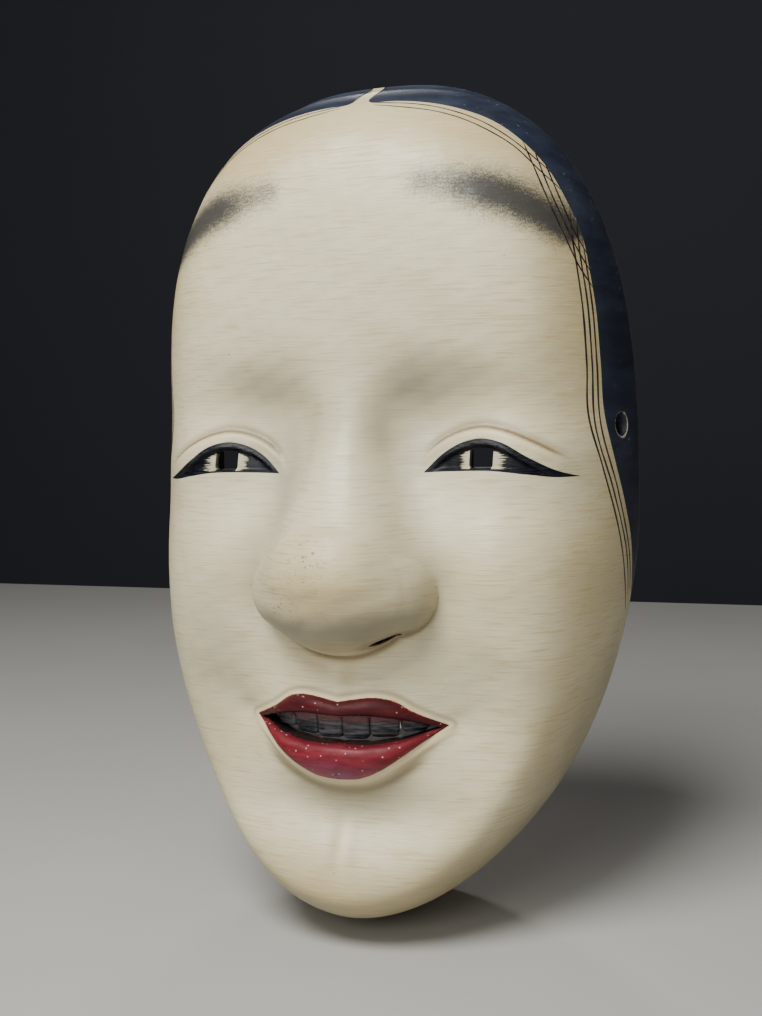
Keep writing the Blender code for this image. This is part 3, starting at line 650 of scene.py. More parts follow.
class Finish:
    """Builds one procedural material from small steps."""

    def __init__(self, name, roughness, **sockets):
        self.mat = bpy.data.materials.new(name)
        self.mat.use_nodes = True
        self.tree = self.mat.node_tree
        self.shader = self.tree.nodes["Principled BSDF"]
        self.shader.inputs["Roughness"].default_value = roughness
        for key, value in sockets.items():
            self.shader.inputs[key.replace("_", " ")].default_value = value
        self.place = self.tree.nodes.new("ShaderNodeTexCoord").outputs["Object"]

    def set(self, socket, value):
        if isinstance(value, bpy.types.NodeSocket):
            self.tree.links.new(value, socket)
        else:
            socket.default_value = value

    def mapped(self, scale, warp=None):
        """Object coordinates in metres times scale, and pushed by warp."""
        node = self.tree.nodes.new("ShaderNodeMapping")
        node.inputs["Scale"].default_value = scale
        self.tree.links.new(self.place, node.inputs["Vector"])
        if warp is None:
            return node.outputs[0]
        added = self.tree.nodes.new("ShaderNodeVectorMath")
        self.tree.links.new(node.outputs[0], added.inputs[0])
        self.tree.links.new(warp, added.inputs[1])
        return added.outputs[0]

    def noise(self, scale, detail=2.0, rough=0.5, warp=None, colour=False):
        node = self.tree.nodes.new("ShaderNodeTexNoise")
        node.inputs["Scale"].default_value = 1.0
        node.inputs["Detail"].default_value = detail
        node.inputs["Roughness"].default_value = rough
        scale = (scale,) * 3 if isinstance(scale, (int, float)) else scale
        self.tree.links.new(self.mapped(scale, warp), node.inputs["Vector"])
        return node.outputs["Color" if colour else "Fac"]

    def cells(self, scale, output="Distance"):
        node = self.tree.nodes.new("ShaderNodeTexVoronoi")
        node.inputs["Scale"].default_value = 1.0
        self.tree.links.new(self.mapped((scale,) * 3), node.inputs["Vector"])
        return node.outputs[output]

    def math(self, operation, a, b=0.5):
        node = self.tree.nodes.new("ShaderNodeMath")
        node.operation = operation
        self.set(node.inputs[0], a)
        self.set(node.inputs[1], b)
        return node.outputs[0]

    def range(self, value, low, high, to_low=0.0, to_high=1.0):
        node = self.tree.nodes.new("ShaderNodeMapRange")
        node.interpolation_type = "SMOOTHSTEP"
        self.set(node.inputs["Value"], value)
        for key, number in (("From Min", low), ("From Max", high), ("To Min", to_low), ("To Max", to_high)):
            node.inputs[key].default_value = number
        return node.outputs[0]

    def mark(self, name):
        node = self.tree.nodes.new("ShaderNodeAttribute")
        node.attribute_name = name
        return node.outputs["Fac"]

    def mix(self, factor, a, b):
        node = self.tree.nodes.new("ShaderNodeMix")
        node.data_type = "RGBA"
        self.set(node.inputs[0], factor)
        self.set(node.inputs[6], a)
        self.set(node.inputs[7], b)
        return node.outputs[2]

    def colour(self, value):
        self.base = value
        self.tree.links.new(value, self.shader.inputs["Base Color"])

    def over(self, factor, red, green, blue):
        """Lays a paint over the colour so far."""
        self.colour(self.mix(factor, self.base, paint(red, green, blue)))

    def times(self, a, b):
        return self.math("MULTIPLY", a, b)

    def ragged(self, value, noise, amount):
        """Value pushed up and down by a noise."""
        return self.math("ADD", value, self.times(self.math("SUBTRACT", noise, 0.5), amount))

    def roughness(self, value):
        self.tree.links.new(value, self.shader.inputs["Roughness"])

    def bump(self, *layers):
        """Bumps from (height, distance in metres), one after the other."""
        normal = None
        for height, distance in layers:
            node = self.tree.nodes.new("ShaderNodeBump")
            node.inputs["Distance"].default_value = distance
            node.inputs["Strength"].default_value = 1.0
            self.tree.links.new(height, node.inputs["Height"])
            if normal is not None:
                self.tree.links.new(normal, node.inputs["Normal"])
            normal = node.outputs[0]
        self.tree.links.new(normal, self.shader.inputs["Normal"])


def ground_finish():
    """Shell-white ground: brushed in level strokes, rubbed, and gone yellow-brown in places, with painted
    highlights and painted shade laid over it.
    """
    f = Finish("shell_white_ground", 0.42, Specular_IOR_Level=0.42, Coat_Weight=0.06, Coat_Roughness=0.25)
    drift = f.noise(9, 1, colour=True)
    fine = f.noise((130, 130, 3600), 3, 0.6, drift)
    strokes = f.noise((100, 100, 2000), 3, 0.6, drift)
    broad = f.noise((18, 18, 40), 2)
    cloud = f.noise(26, 3)
    grain = f.noise(2600, 2)

    warm = f.math("ADD", f.mark("patina"), f.range(cloud, 0.35, 0.75, -0.12, 0.22))
    f.colour(f.mix(f.range(broad, 0.35, 0.7), paint(225, 217, 182), paint(214, 205, 168)))
    f.over(f.range(warm, 0.0, 1.0), 196, 178, 132)
    streak = f.times(f.range(strokes, 0.5, 0.7), f.range(warm, -0.05, 0.6, 0.42, 0.7))
    f.over(streak, 192, 168, 112)
    pale = f.range(fine, 0.55, 0.75, 0.0, 0.4)
    f.over(pale, 236, 231, 216)
    dark = f.range(fine, 0.25, 0.44, 0.34, 0.0)
    f.over(dark, 166, 152, 120)
    # Painted highlight on the lid roll, along the lip edges and the lower lip's ledge, over the groove above
    # the lip and on the chin mark
    f.over(f.times(f.mark("cream_and_highlight"), 0.8), 238, 221, 176)
    # Painted shade lines in the lid crease, along the foot of the nose, under the lower lip's ledge, along
    # the upper lip's edge and beside the chin mark
    f.over(f.times(f.mark("painted_crease_shade"), 0.8), 122, 98, 64)
    # Painted shade in the hollows, beside and under the nose, under the lower lip, on downward-facing parts
    # and toward the rim
    f.over(f.times(f.mark("painted_shade"), f.range(cloud, 0.2, 0.8, 0.3, 0.9)), 140, 134, 114)
    f.over(f.times(f.mark("blush"), 0.7), 118, 84, 66)

    scratch = f.times(f.range(f.noise((900, 900, 1400), 3, 0.7), 0.58, 0.66), f.mark("scratch"))
    f.over(scratch, 92, 84, 72)
    fleck = f.times(f.range(f.cells(210), 0.035, 0.075, 1.0, 0.0), f.range(f.noise(40), 0.58, 0.68))
    f.over(f.times(fleck, 0.55), 120, 104, 78)

    soot = f.ragged(f.mark("brow"), grain, 0.8)
    soot = f.ragged(soot, f.noise((420, 420, 1900), 2), 0.4)
    soot = f.times(f.range(soot, 0.05, 1.0), f.range(f.mark("brow"), 0.02, 0.2))
    f.over(f.times(soot, 0.95), 46, 46, 50)
    f.roughness(f.range(f.math("ADD", f.times(strokes, 0.6), f.times(cloud, 0.4)), 0.3, 0.7, 0.36, 0.52))
    dents = f.noise(320, 3)
    f.bump((fine, 0.00004), (strokes, 0.00005), (dents, 0.00008), (grain, 0.000012), (scratch, -0.00004))
    return f.mat


def hair_finish():
    """Blue-black ink, dull and dusty, with wear round the cord hole."""
    f = Finish("hair_ink", 0.5, Specular_IOR_Level=0.5)
    drift = f.noise(16, 1, colour=True)
    streak = f.noise((90, 40, 260), 3, 0.6, drift)
    cloud = f.noise(60, 4, 0.6)
    f.colour(f.mix(f.range(streak, 0.3, 0.75), paint(23, 29, 44), paint(38, 46, 64)))
    f.over(f.range(cloud, 0.5, 0.8, 0.0, 0.5), 52, 59, 70)
    dust = f.times(f.range(f.cells(330), 0.07, 0.17, 1.0, 0.0), f.range(f.noise(95, 3), 0.5, 0.62))
    f.over(f.times(dust, 0.6), 132, 134, 132)
    lint = f.times(f.range(f.noise((1500, 1500, 500), 2), 0.68, 0.74), f.range(f.noise(70), 0.6, 0.7))
    f.over(f.times(lint, 0.5), 150, 140, 122)
    worn = f.ragged(f.mark("chip"), f.noise(950, 3, 0.7), 1.1)
    f.over(f.range(worn, 0.42, 0.62), 170, 160, 136)
    edge = f.ragged(f.mark("rub"), f.noise(600, 3, 0.7), 1.2)
    f.over(f.range(edge, 0.75, 1.05), 104, 88, 66)
    f.roughness(f.range(cloud, 0.3, 0.7, 0.42, 0.62))
    f.bump((streak, 0.00006), (f.noise(1400, 2), 0.00002), (f.range(worn, 0.42, 0.62), -0.00012))
    return f.mat


def strand_finish():
    f = Finish("strand_ink", 0.45)
    thin = f.noise((500, 500, 220), 3, 0.6)
    f.colour(f.mix(f.range(thin, 0.4, 0.75), paint(24, 19, 17), paint(74, 58, 44)))
    f.bump((thin, 0.00002))
    return f.mat


def eye_finish():
    """Ink brushed over the ground from both corners, leaving bare cream beside the pupil."""
    f = Finish("eye_ink", 0.46, Specular_IOR_Level=0.22)
    brush = f.noise((260, 260, 3200), 3, 0.65)
    dry = f.noise((420, 420, 2600), 2, 0.6)
    f.colour(f.mix(f.range(brush, 0.42, 0.72), paint(6, 7, 12), paint(25, 30, 44)))
    # Grey along the top of the lash roll: dry-brushed grey and a painted sheen
    grey = f.times(f.mark("roll"), f.range(dry, 0.45, 0.7))
    f.over(f.times(grey, 0.3), 96, 98, 96)
    bare = f.ragged(f.mark("cream_and_highlight"), brush, 2.3)
    f.over(f.range(bare, 0.5, 0.95), 186, 178, 150)
    f.over(f.mark("hole"), 8, 8, 10)
    f.roughness(f.range(brush, 0.3, 0.7, 0.38, 0.55))
    f.bump((brush, 0.00006), (f.range(bare, 0.44, 0.62), 0.00004))
    return f.mat


def lip_finish(name, deep, bright, tint):
    """Brushed red with glitter specks and a violet tint where it is thickest."""
    f = Finish(name, 0.42, Specular_IOR_Level=0.3)
    brush = f.noise((160, 160, 900), 3, 0.6)
    cloud = f.noise(150, 3, 0.55)
    f.colour(f.mix(f.range(brush, 0.35, 0.7), paint(*deep), paint(*bright)))
    f.over(f.range(cloud, 0.45, 0.75, 0.0, 0.5), *deep)
    tinted = f.times(f.mark("violet"), f.range(cloud, 0.25, 0.65, 0.35, 1.0))
    f.over(tinted, *tint)
    pit = f.times(f.range(f.cells(330), 0.10, 0.20, 1.0, 0.0), f.mark("violet"))
    f.over(f.times(pit, 0.6), 70, 20, 44)
    # Dark on the walls turning into the mouth, with painted shade along the lip's inner edge and at its
    # corners
    f.over(f.mark("dark"), 14, 5, 7)
    lit = f.range(f.cells(760, "Color"), 0.50, 0.54)
    speck = f.times(f.range(f.cells(760), 0.10, 0.22, 1.0, 0.0), lit)
    f.over(f.times(speck, 0.5), 236, 205, 200)
    edge = f.ragged(f.mark("edge"), f.noise(900, 3, 0.6), 0.9)
    f.over(f.range(edge, 0.8, 1.05), 196, 96, 84)
    f.roughness(f.range(cloud, 0.3, 0.7, 0.48, 0.64))
    f.bump((brush, 0.00005), (speck, 0.00006), (f.noise(700, 2), 0.00003))
    return f.mat


def tooth_finish():
    """Blackened teeth: dark lacquer dragged over with a grey dry brush."""
    f = Finish("blackened_tooth", 0.33, Specular_IOR_Level=0.5)
    level = f.noise((160, 300, 1500), 3, 0.65)
    upright = f.noise((1300, 300, 220), 3, 0.6)
    f.colour(f.mix(f.range(level, 0.38, 0.68), paint(26, 28, 35), paint(104, 104, 110)))
    side = f.times(f.mark("side"), f.range(upright, 0.4, 0.65, 0.0, 0.4))
    f.over(side, 128, 122, 116)
    red = f.times(f.mark("root"), f.range(upright, 0.25, 0.7, 0.45, 1.0))
    f.over(red, 122, 50, 54)
    f.roughness(f.range(level, 0.3, 0.7, 0.26, 0.45))
    f.bump((level, 0.00006), (upright, 0.00004))
    return f.mat


def gum_finish():
    f = Finish("gum_red", 0.4)
    smear = f.noise((700, 700, 300), 3, 0.6)
    f.colour(f.mix(f.range(smear, 0.35, 0.7), paint(96, 24, 28), paint(140, 58, 62)))
    f.bump((smear, 0.00006))
    return f.mat


def wood_finish():
    """Bare cypress, darkened by handling: long growth lines, tool marks and ink run into the holes."""
    f = Finish("carved_cypress", 0.55, Specular_IOR_Level=0.35)
    drift = f.noise(14, 2, colour=True)
    rings = f.noise((170, 60, 9), 4, 0.55, drift)
    lines = f.noise((900, 300, 16), 3, 0.6, drift)
    pores = f.noise((2600, 1200, 120), 2)
    cloud = f.noise(28, 3)
    f.colour(f.mix(f.range(rings, 0.38, 0.62), paint(206, 164, 112), paint(172, 124, 76)))
    f.over(f.range(lines, 0.5, 0.7, 0.0, 0.55), 116, 74, 42)
    f.over(f.range(pores, 0.58, 0.7, 0.0, 0.4), 92, 58, 34)
    f.over(f.range(cloud, 0.4, 0.75, 0.0, 0.4), 136, 92, 56)
    f.over(f.times(f.mark("grime"), f.range(cloud, 0.2, 0.8, 0.45, 0.9)), 66, 42, 27)
    f.over(f.mark("ink"), 14, 12, 13)
    f.roughness(f.range(rings, 0.3, 0.7, 0.46, 0.62))
    f.bump((lines, 0.00012), (pores, 0.00004))
    return f.mat


# ------------------------------------------------------------------ painted front


def build_plan():
    """The shared fine mesh of the plan and the loops of its regions."""
    hair, eye = hair_loop(), eye_loop()
    regions = {
        "hair_left": hair,
        "hair_right": mirrored(hair)[::-1],
        "eye_left": eye,
        "eye_right": mirrored(eye)[::-1],
        "lip_upper": lip_loop(LIP_TOP, LIP_INNER_TOP, LINE),
        "lip_lower": lip_loop(LIP_LOW, LIP_INNER_LOW, LINE),
    }
    mouth = lens(LIP_INNER_TOP, LIP_INNER_LOW, LINE)
    loops = [rim_point(rim_angles()), mouth] + list(regions.values())
    fold = unroll(*edge_line(EYE_FOLD, FINE).T)
    under = unroll(*(edge_line(EYE_TOP[1:-2], FINE) - (0.0, 1.9)).T)
    ledge = unroll(*(edge_line(LIP_LOW[:-1], LINE) * (1.03, 1.0) - (0.0, 2.6)).T)
    lines = [run for half in (fold, under, ledge) for run in (half, mirrored(half))]
    coarse, fine = lattice(COARSE), lattice(FINE)
    scattered = np.concatenate([coarse[~in_fine_area(coarse)], fine[in_fine_area(fine)]])
    spacing = np.where(in_fine_area(scattered), FINE, COARSE)
    scattered = scattered[clear_of(loops + lines, scattered, spacing)]
    plan, faces = triangulate(loops, lines, scattered)
    centres = plan[faces].mean(axis=1)
    kind = np.full(len(faces), "face", dtype="<U12")
    kind[inside(mouth, centres)] = "mouth"
    for name, loop in regions.items():
        kind[(kind == "face") & inside(loop, centres)] = name
    plan, faces = split_in_four(plan, faces)
    return plan, faces, np.tile(kind, 4)


def straight_back(*depths):
    """Stations of a wall that runs straight back, each so many millimetres further in."""
    return [lambda plan, at, d=d: at + np.array([0.0, d, 0.0]) for d in depths]


def pierced(name, plan, faces, mat, jobs):
    """Skin with holes: jobs are (level function, stations of the hole's wall)."""
    walls = []
    for level, stations in jobs:
        values = level(front(*plan.T))
        plan, faces = pierce(plan, faces, values)
        walls.append((lambda plan, points, level=level: np.abs(level(points)) < 0.02, stations))
    return skin(name, plan, faces, mat, walls)


def nostril_stations(side):
    """Wall of a nostril: along the drill, narrowing to a blind end."""
    _, drill, _, _ = nostril_axes(side)

    def moved(distance, narrow):
        def station(plan, at):
            middle = at.mean(axis=0)
            return middle + (at - middle) * narrow + drill * distance
        return station

    return [moved(0.5, 0.93), moved(2.5, 0.92), moved(4.0, 0.8), moved(2.5, 0.05)]


def cord_stations(side):
    """Wall of a cord hole: level with the cord, into the wood."""
    def moved(distance, narrow):
        def station(plan, at):
            middle = np.array([0.0, -CORD_HOLE[0], CORD_HOLE[1]])
            rel = (at - middle) * np.array([1.0, narrow, narrow])
            return middle + rel - np.array([side * distance, 0.0, 0.0])
        return station

    return [moved(0.3, 0.94), moved(1.2, 1.0), moved(3.5, 1.0)]


def shade_face(obj):
    """Marks of the face: brow, patina and the like, with painted shade in creases, hollows and on
    downward-facing parts, and painted highlights on the lid roll, lip ledges, groove above the lip and chin.
    """
    x, z, depth = points_of(obj)
    a = np.abs(x)
    line = edge_line(BROW, 1.0)
    gap = np.full(len(a), 99.0)
    share = np.zeros(len(a))
    side = np.zeros(len(a))
    near = (z > 34.0) & (z < 76.0) & (a > 10.0)
    rel = np.stack([a[near], z[near]], axis=-1)[:, None] - line[None]
    distance = np.linalg.norm(rel, axis=2)
    nearest = distance.argmin(axis=1)
    gap[near] = distance.min(axis=1)
    share[near] = nearest / (len(line) - 1)
    side[near] = rel[np.arange(len(nearest)), nearest, 1]
    half = 5.5 + 1.2 * np.sin(math.pi * np.clip(share * 1.05, 0.0, 1.0))
    brow = np.exp(-1.2 * (gap / half) ** 2) * (0.62 + 0.44 * step(share, 0.05, 0.4))
    brow *= 1.0 + 0.22 * step(share, 0.4, 0.8) * np.clip(-side / 4.0, -1.0, 1.0)
    brow *= 1.0 - 0.75 * step(share, 0.9, 1)

    lid, there = lid_gap(x, z)
    # Painted shade line in the crease of the upper lid
    painted_crease_shade = there * (1.15 * bell(lid - 0.55, 0.34) + 0.35 * bell(lid - 1.3, 0.8))
    # Painted highlight on the lid roll under the crease, along the lip edges and their ledge, over the groove
    # above the lip and on the chin mark
    cream_and_highlight = there * bell(lid + 0.9, 0.8)
    edge = lip_distance(x, z)
    lower = 1.0 - step(z, -77, -73)
    cream_and_highlight = np.maximum(cream_and_highlight, (edge > -0.5) * (1.0 - step(edge, 0.7 + 1.3 * lower, 1.4 + 1.9 * lower)))
    for spot in (0.5 * swell(a, z, 0, -60, 8, 4.5), 0.9 * swell(x, z, 0.4, -104, 1.3, 4)):
        cream_and_highlight = np.maximum(cream_and_highlight, spot)
    # Painted shadow under the ledge of the lower lip, painted shade along the upper lip's edge and beside the
    # chin mark
    below_lip = lower * bell(edge - 3.6, 1.0) * (edge < NEAR_LIP - 1.0) * (1.0 - step(a, 17, 25))
    above_lip = 0.7 * (1.0 - lower) * bell(edge - 1.3, 0.4) * (edge < NEAR_LIP - 1.0)
    chin = hills(x, z, (0.28, -2.2, -103, 1.3, 4.4), (0.2, 2.8, -104, 1.2, 4.4))

    tip = np.hypot((a - NOSE_TIP[0]) / NOSE_TIP_RADII[0], (z - NOSE_TIP[1]) / NOSE_TIP_RADII[1])
    wing = np.hypot((a - NOSE_WING[0]) / NOSE_WING_RADII[0], (z - NOSE_WING[1]) / NOSE_WING_RADII[1])
    # Painted shade along the foot of the nose
    foot = 0.9 * bell(np.minimum(tip, wing) - 1.02, 0.035) * (1.0 - step(z, -49, -43))
    for line in (below_lip, above_lip, chin, foot):
        painted_crease_shade = np.maximum(painted_crease_shade, line)
    plan = unroll(x, z)
    out = np.hypot(*(plan - np.array([0.0, WIDEST_Z])).T) / outline_radius(*polar(*plan.T)[1:])
    patina = 0.50 * step(out, 0.62, 1) + 0.35 * swell(x, z, 44, -34, 16, 14)
    patina += hills(
        a, z, (0.55, 0, -122, 26, 9), (0.35, 56, 44, 9, 20), (0.60, 0, -38, 17, 10), (0.25, 20, 76, 22, 6),
        (0.30, 0, -24, 5, 16), (0.35, 30, 70, 20, 7),
    )
    # Painted shade: darker toward the rim, in the eye sockets, between the brows, beside and under the nose,
    # under the lower lip, at the lower cheeks and on every downward-facing part; the groove above the lip is
    # kept clear of it
    painted_shade = 0.5 * step(out, 0.93, 1.12)
    painted_shade += hills(
        a, z, (0.30, 52, 52, 6, 9), (0.25, 58, -14, 6, 10), (0.5, 17, 0, 14, 9), (0.9, 16.5, -20, 4, 11),
        (0.5, 24, -40, 3, 9), (0.60, 0, -93, 18, 3.5), (-1.6, 0, -60, 9, 7),
    )
    painted_shade += hills(x, z, (0.35, 0, 6, 26, 13), (0.4, -42, -60, 16, 26), (0.4, 27, -58, 8, 13))
    normals = np.empty(len(obj.data.vertices) * 3, np.float32)
    obj.data.vertices.foreach_get("normal", normals)
    downward = -normals.reshape(-1, 3)[:, 2]
    under_nose = np.clip(downward, 0.0, 1.0) * swell(a, z, 0, -48, 18, 8)
    painted_shade += 1.3 * step(under_nose, -0.1, 1) + 0.6 * step(downward, 0.1, 0.6)
    scratch = hills(x, z, (1.0, -2, -31, 4, 4), (0.6, -9, -42, 4, 3))
    blush = np.zeros(len(a))
    for hand in (-1, 1):
        rho, _ = nostril_place(np.stack([x, -depth, z], axis=-1), hand)
        blush = np.maximum(blush, np.where(z < -42.0, bell(np.clip(rho - 1.0, 0.0, None), 0.6), 0.0))
    blush = np.maximum(0.8 * blush, 0.5 * swell(x, z, 0, -53.5, 4, 1.6))
    painted_shade = np.clip(painted_shade, 0.0, 1.2)
    mark(obj, brow=brow, painted_crease_shade=painted_crease_shade, cream_and_highlight=cream_and_highlight, patina=patina, painted_shade=painted_shade, scratch=scratch, blush=blush)


def shade_hair(obj, side):
    x, z, depth = points_of(obj)
    rho = np.hypot(depth - CORD_HOLE[0], z - CORD_HOLE[1]) / CORD_HOLE_RADIUS
    beside = side * x > 50.0
    around = np.arctan2(z - CORD_HOLE[1], CORD_HOLE[0] - depth)
    low_front = 0.5 + 0.5 * np.cos(around + 0.9)
    chip = np.where(beside, np.exp(-np.clip(rho - 1.0, 0.0, None) / 0.16) * (0.55 + 0.45 * low_front), 0.0)
    chip = np.where(beside & (rho < 0.99), 0.22, chip)
    rub = np.exp(-depth / 0.5) + 0.35 * bell(depth, 4.0)
    mark(obj, chip=chip, rub=rub)


def shade_eye(obj):
    x, z, depth = points_of(obj)
    a = np.abs(x)
    below, above = through(EYE_TOP, a) - z, z - through(EYE_LOW, a)
    inner = EYE_HOLE[0] - 0.5 * EYE_HOLE_SIZE[0] - a
    outer = a - EYE_HOLE[0] - 0.5 * EYE_HOLE_SIZE[0]
    bare = np.where(inner > -0.5, 1.1 - 1.1 * step(inner, 0.2, 4.4), 0.0)
    bare = np.maximum(bare, np.where(outer > -0.5, 1.05 - 1.05 * step(outer, 0, 6.4), 0.0))
    bare *= step(below, 2.1, 3) * step(above, 0.15, 0.8)
    # Band along the top of the lash roll that the material greys: dry-brushed grey and a painted sheen
    roll = bell(below - 0.7, 0.55) * step(a, 22, 30) * (1.0 - step(a, 44, 52))
    mark(obj, cream_and_highlight=bare, roll=roll, hole=step(skin_depth(x, z) - depth, 0.3, 1.4))


def shade_lip(obj, lower):
    x, z, depth = points_of(obj)
    a = np.abs(x)
    edge = lip_distance(x, z)
    violet = swell(x, z, 0, -85.3, 9, 1.9) if lower else 0.0 * x
    inner = through(LIP_INNER_LOW if lower else LIP_INNER_TOP, a)
    # Dark colour on the walls into the mouth, and painted shade along the inner edge of the lip and at its
    # corners
    rim = bell(z - inner, 0.5) * (0.275 if lower else 0.55)
    dark = np.maximum(step(skin_depth(x, z) - depth, 0.6, 3.5), rim)
    dark = np.maximum(dark, 0.5 * step(a, 20, 24.5))
    mark(obj, violet=violet, dark=np.clip(dark, 0.0, 1.0), edge=np.exp(edge / 0.35))


def build_front():
    plan, faces, kind = build_plan()
    made = {}
    sides = {"left": 1, "right": -1}
    hair, eye = hair_finish(), eye_finish()
    for name, side in sides.items():
        jobs = [(lambda points, s=side: cord_level(points, s), cord_stations(side))]
        obj = pierced("hair_" + name, *used_only(plan, faces[kind == "hair_" + name]), hair, jobs)
        shade_hair(obj, side)
        made[obj] = ("hair_coat_" + name, "ink_black")
        jobs = [(lambda points, s=side: pupil_level(points, s), straight_back(0.8, 1.6))]
        obj = pierced("eye_" + name, *used_only(plan, faces[kind == "eye_" + name]), eye, jobs)
        shade_eye(obj)
        made[obj] = ("eye_coat_" + name, "eye_black")
    jobs = [(lambda points, s=s: nostril_level(points, s), nostril_stations(s)) for s in (1, -1)]
    obj = pierced("face_skin", *used_only(plan, faces[kind == "face"]), ground_finish(), jobs)
    shade_face(obj)
    made[obj] = ("face_coat", "white_ground")

    upper = lip_finish("lip_dark_red", (62, 6, 13), (86, 14, 20), (90, 24, 40))
    lower = lip_finish("lip_rouge", (102, 18, 29), (130, 35, 46), (132, 74, 104))
    inner_edges = {"lip_upper": LIP_INNER_TOP, "lip_lower": LIP_INNER_LOW}
    for name, mat, node, slot in (
        ("lip_upper", upper, "upper_lip_coat", "dark_red"),
        ("lip_lower", lower, "lower_lip_coat", "rouge_red"),
    ):
        curve = inner_edges[name]

        def at_mouth(plan, points, curve=curve):
            x, z = points[:, 0], points[:, 2]
            return np.abs(z - through(curve, np.abs(x))) < 0.12

        obj = skin(name, plan, faces[kind == name], mat, [(at_mouth, straight_back(0.7, 2.0, 3.0))])
        shade_lip(obj, name == "lip_lower")
        made[obj] = (node, slot)
    return made


def build_strands(side, mat):
    """Thin raised strokes of ink, drawn out to nothing at both ends."""
    points, faces = [], []
    for number, strand in enumerate(STRANDS):
        line = edge_line(strand, 0.8)
        run = np.gradient(line, axis=0)
        across = np.stack([-run[:, 1], run[:, 0]], axis=-1) / np.linalg.norm(run, axis=1, keepdims=True)
        share = np.linspace(0.0, 1.0, len(line))
        waver = 1.0 + 0.12 * np.sin(31.0 * share + 2.1 * number) + 0.08 * np.sin(73.0 * share + number)
        half = 0.5 * STRAND_WIDTH * waver * np.minimum(1.0, 0.25 + 9.0 * np.minimum(share, 1.0 - share))
        first = sum(len(p) for p in points)
        rows = []
        for offset, inset in ((-1.0, 0.05), (-0.5, -0.07), (0.5, -0.07), (1.0, 0.05)):
            at = line + across * (offset * half)[:, None]
            at[:, 0] *= side
            rows.append(front(*at.T, inset))
        points.append(np.stack(rows, axis=1).reshape(-1, 3))
        for k in range(len(line) - 1):
            for j in range(3):
                a = first + 4 * k + j
                quad = (a, a + 1, a + 5, a + 4)
                faces.append(quad if side > 0 else quad[::-1])
    name = "strands_left" if side > 0 else "strands_right"
    return mesh_object(name, np.concatenate(points), faces, mat, 80.0)


# ------------------------------------------------------------------ teeth and gum

def tooth_depth(x):
    """Depth of the front of the tooth row behind the upper lip."""
    across = np.abs(np.atleast_1d(x))
    level = np.full(len(across), TOOTH_LEVEL)
    return skin_depth(across, level) - lip_swell(across, level) - TOOTH_SETBACK


def build_teeth():
    """Six rounded tooth blocks, side by side along the curve of the lip."""
    bm = bmesh.new()
    roots, sides = [], []
    for left, right in zip(TOOTH_EDGES[:-1], TOOTH_EDGES[1:]):
        middle = 0.5 * (left + right)
        low = float(through(TOOTH_LOW, abs(middle)))
        half = Vector((0.5 * (right - left) + 0.30, 2.2, 0.5 * (TOOTH_TOP - low)))
        edge_depths = tooth_depth([left, right])
        turn = math.atan2(edge_depths[0] - edge_depths[1], right - left)
        depth = float(tooth_depth(middle)[0])
        block = bmesh.new()
        bmesh.ops.create_cube(block, size=2.0)
        bmesh.ops.subdivide_edges(block, edges=block.edges[:], cuts=13, use_grid_fill=True)
        index = {}
        for vert in block.verts:
            p = Vector([c * (1.25 - 0.25 * c * c) if abs(c) < 1.0 else c for c in vert.co])
            size = sum(abs(c) ** TOOTH_POWER for c in p) ** (1.0 / TOOTH_POWER)
            p = p / size
            down = 0.5 - 0.5 * p.z
            width = 1.0 - 0.05 * down * down
            thick = 1.0 - 0.45 * down
            x, y, z = p.x * half.x * width, p.y * half.y * thick, p.z * half.z
            y -= 0.45 * (1.0 - p.x * p.x) * (0.4 + 0.6 * math.sin(math.pi * down))
            cos, sin = math.cos(turn), math.sin(turn)
            back = half.y - depth + x * sin + y * cos
            at = Vector((middle + x * cos - y * sin, back, 0.5 * (TOOTH_TOP + low) + z))
            index[vert.index] = bm.verts.new(at * MM)
            roots.append(float(step(at.z, -73.8 + 0.7 * p.x * p.x, -71.6 - 0.4 * p.x * p.x)))
            sides.append(float(step(abs(p.x), 0.62, 0.95)))
        for face in block.faces:
            bm.faces.new([index[v.index] for v in face.verts])
        block.free()
    mesh = bpy.data.meshes.new("teeth")
    bmesh.ops.recalc_face_normals(bm, faces=bm.faces)
    bm.to_mesh(mesh)
    bm.free()
    mesh.materials.append(tooth_finish())
    mesh.shade_smooth()
    obj = placed("teeth", mesh)
    mark(obj, root=roots, side=sides)
    return obj


def build_gum():
    """Red edge of the gum over the teeth, dipping between them."""
    across = np.linspace(TOOTH_EDGES[0] - 0.5, TOOTH_EDGES[-1] + 0.5, 150)
    edges = np.array(TOOTH_EDGES)
    nearest = np.abs(across[:, None] - edges[None]).min(axis=1)
    dip = bell(nearest, 1.0)
    depth = tooth_depth(across)
    low = through(LIP_INNER_TOP, np.abs(across)) - 0.75 - 0.75 * dip
    centre = low + 1.5
    turns = np.linspace(0.0, 2.0 * math.pi, 15)[:-1]
    rows = []
    for t in turns:
        y = -(depth - 0.5) - (0.75 - 0.35 * dip) * math.cos(t)
        rows.append(np.stack([across, y, centre + 1.5 * math.sin(t)], axis=-1))
    points = np.stack(rows, axis=1)
    count = len(turns)
    faces = []
    for k in range(len(across) - 1):
        for j in range(count):
            a, b = k * count + j, k * count + (j + 1) % count
            faces.append((a, a + count, b + count, b))
    last = (len(across) - 1) * count
    faces += [tuple(range(count)), tuple(range(last + count - 1, last - 1, -1))]
    return mesh_object("gum", points.reshape(-1, 3), faces, gum_finish(), 60.0)


# ------------------------------------------------------------------ carved wood


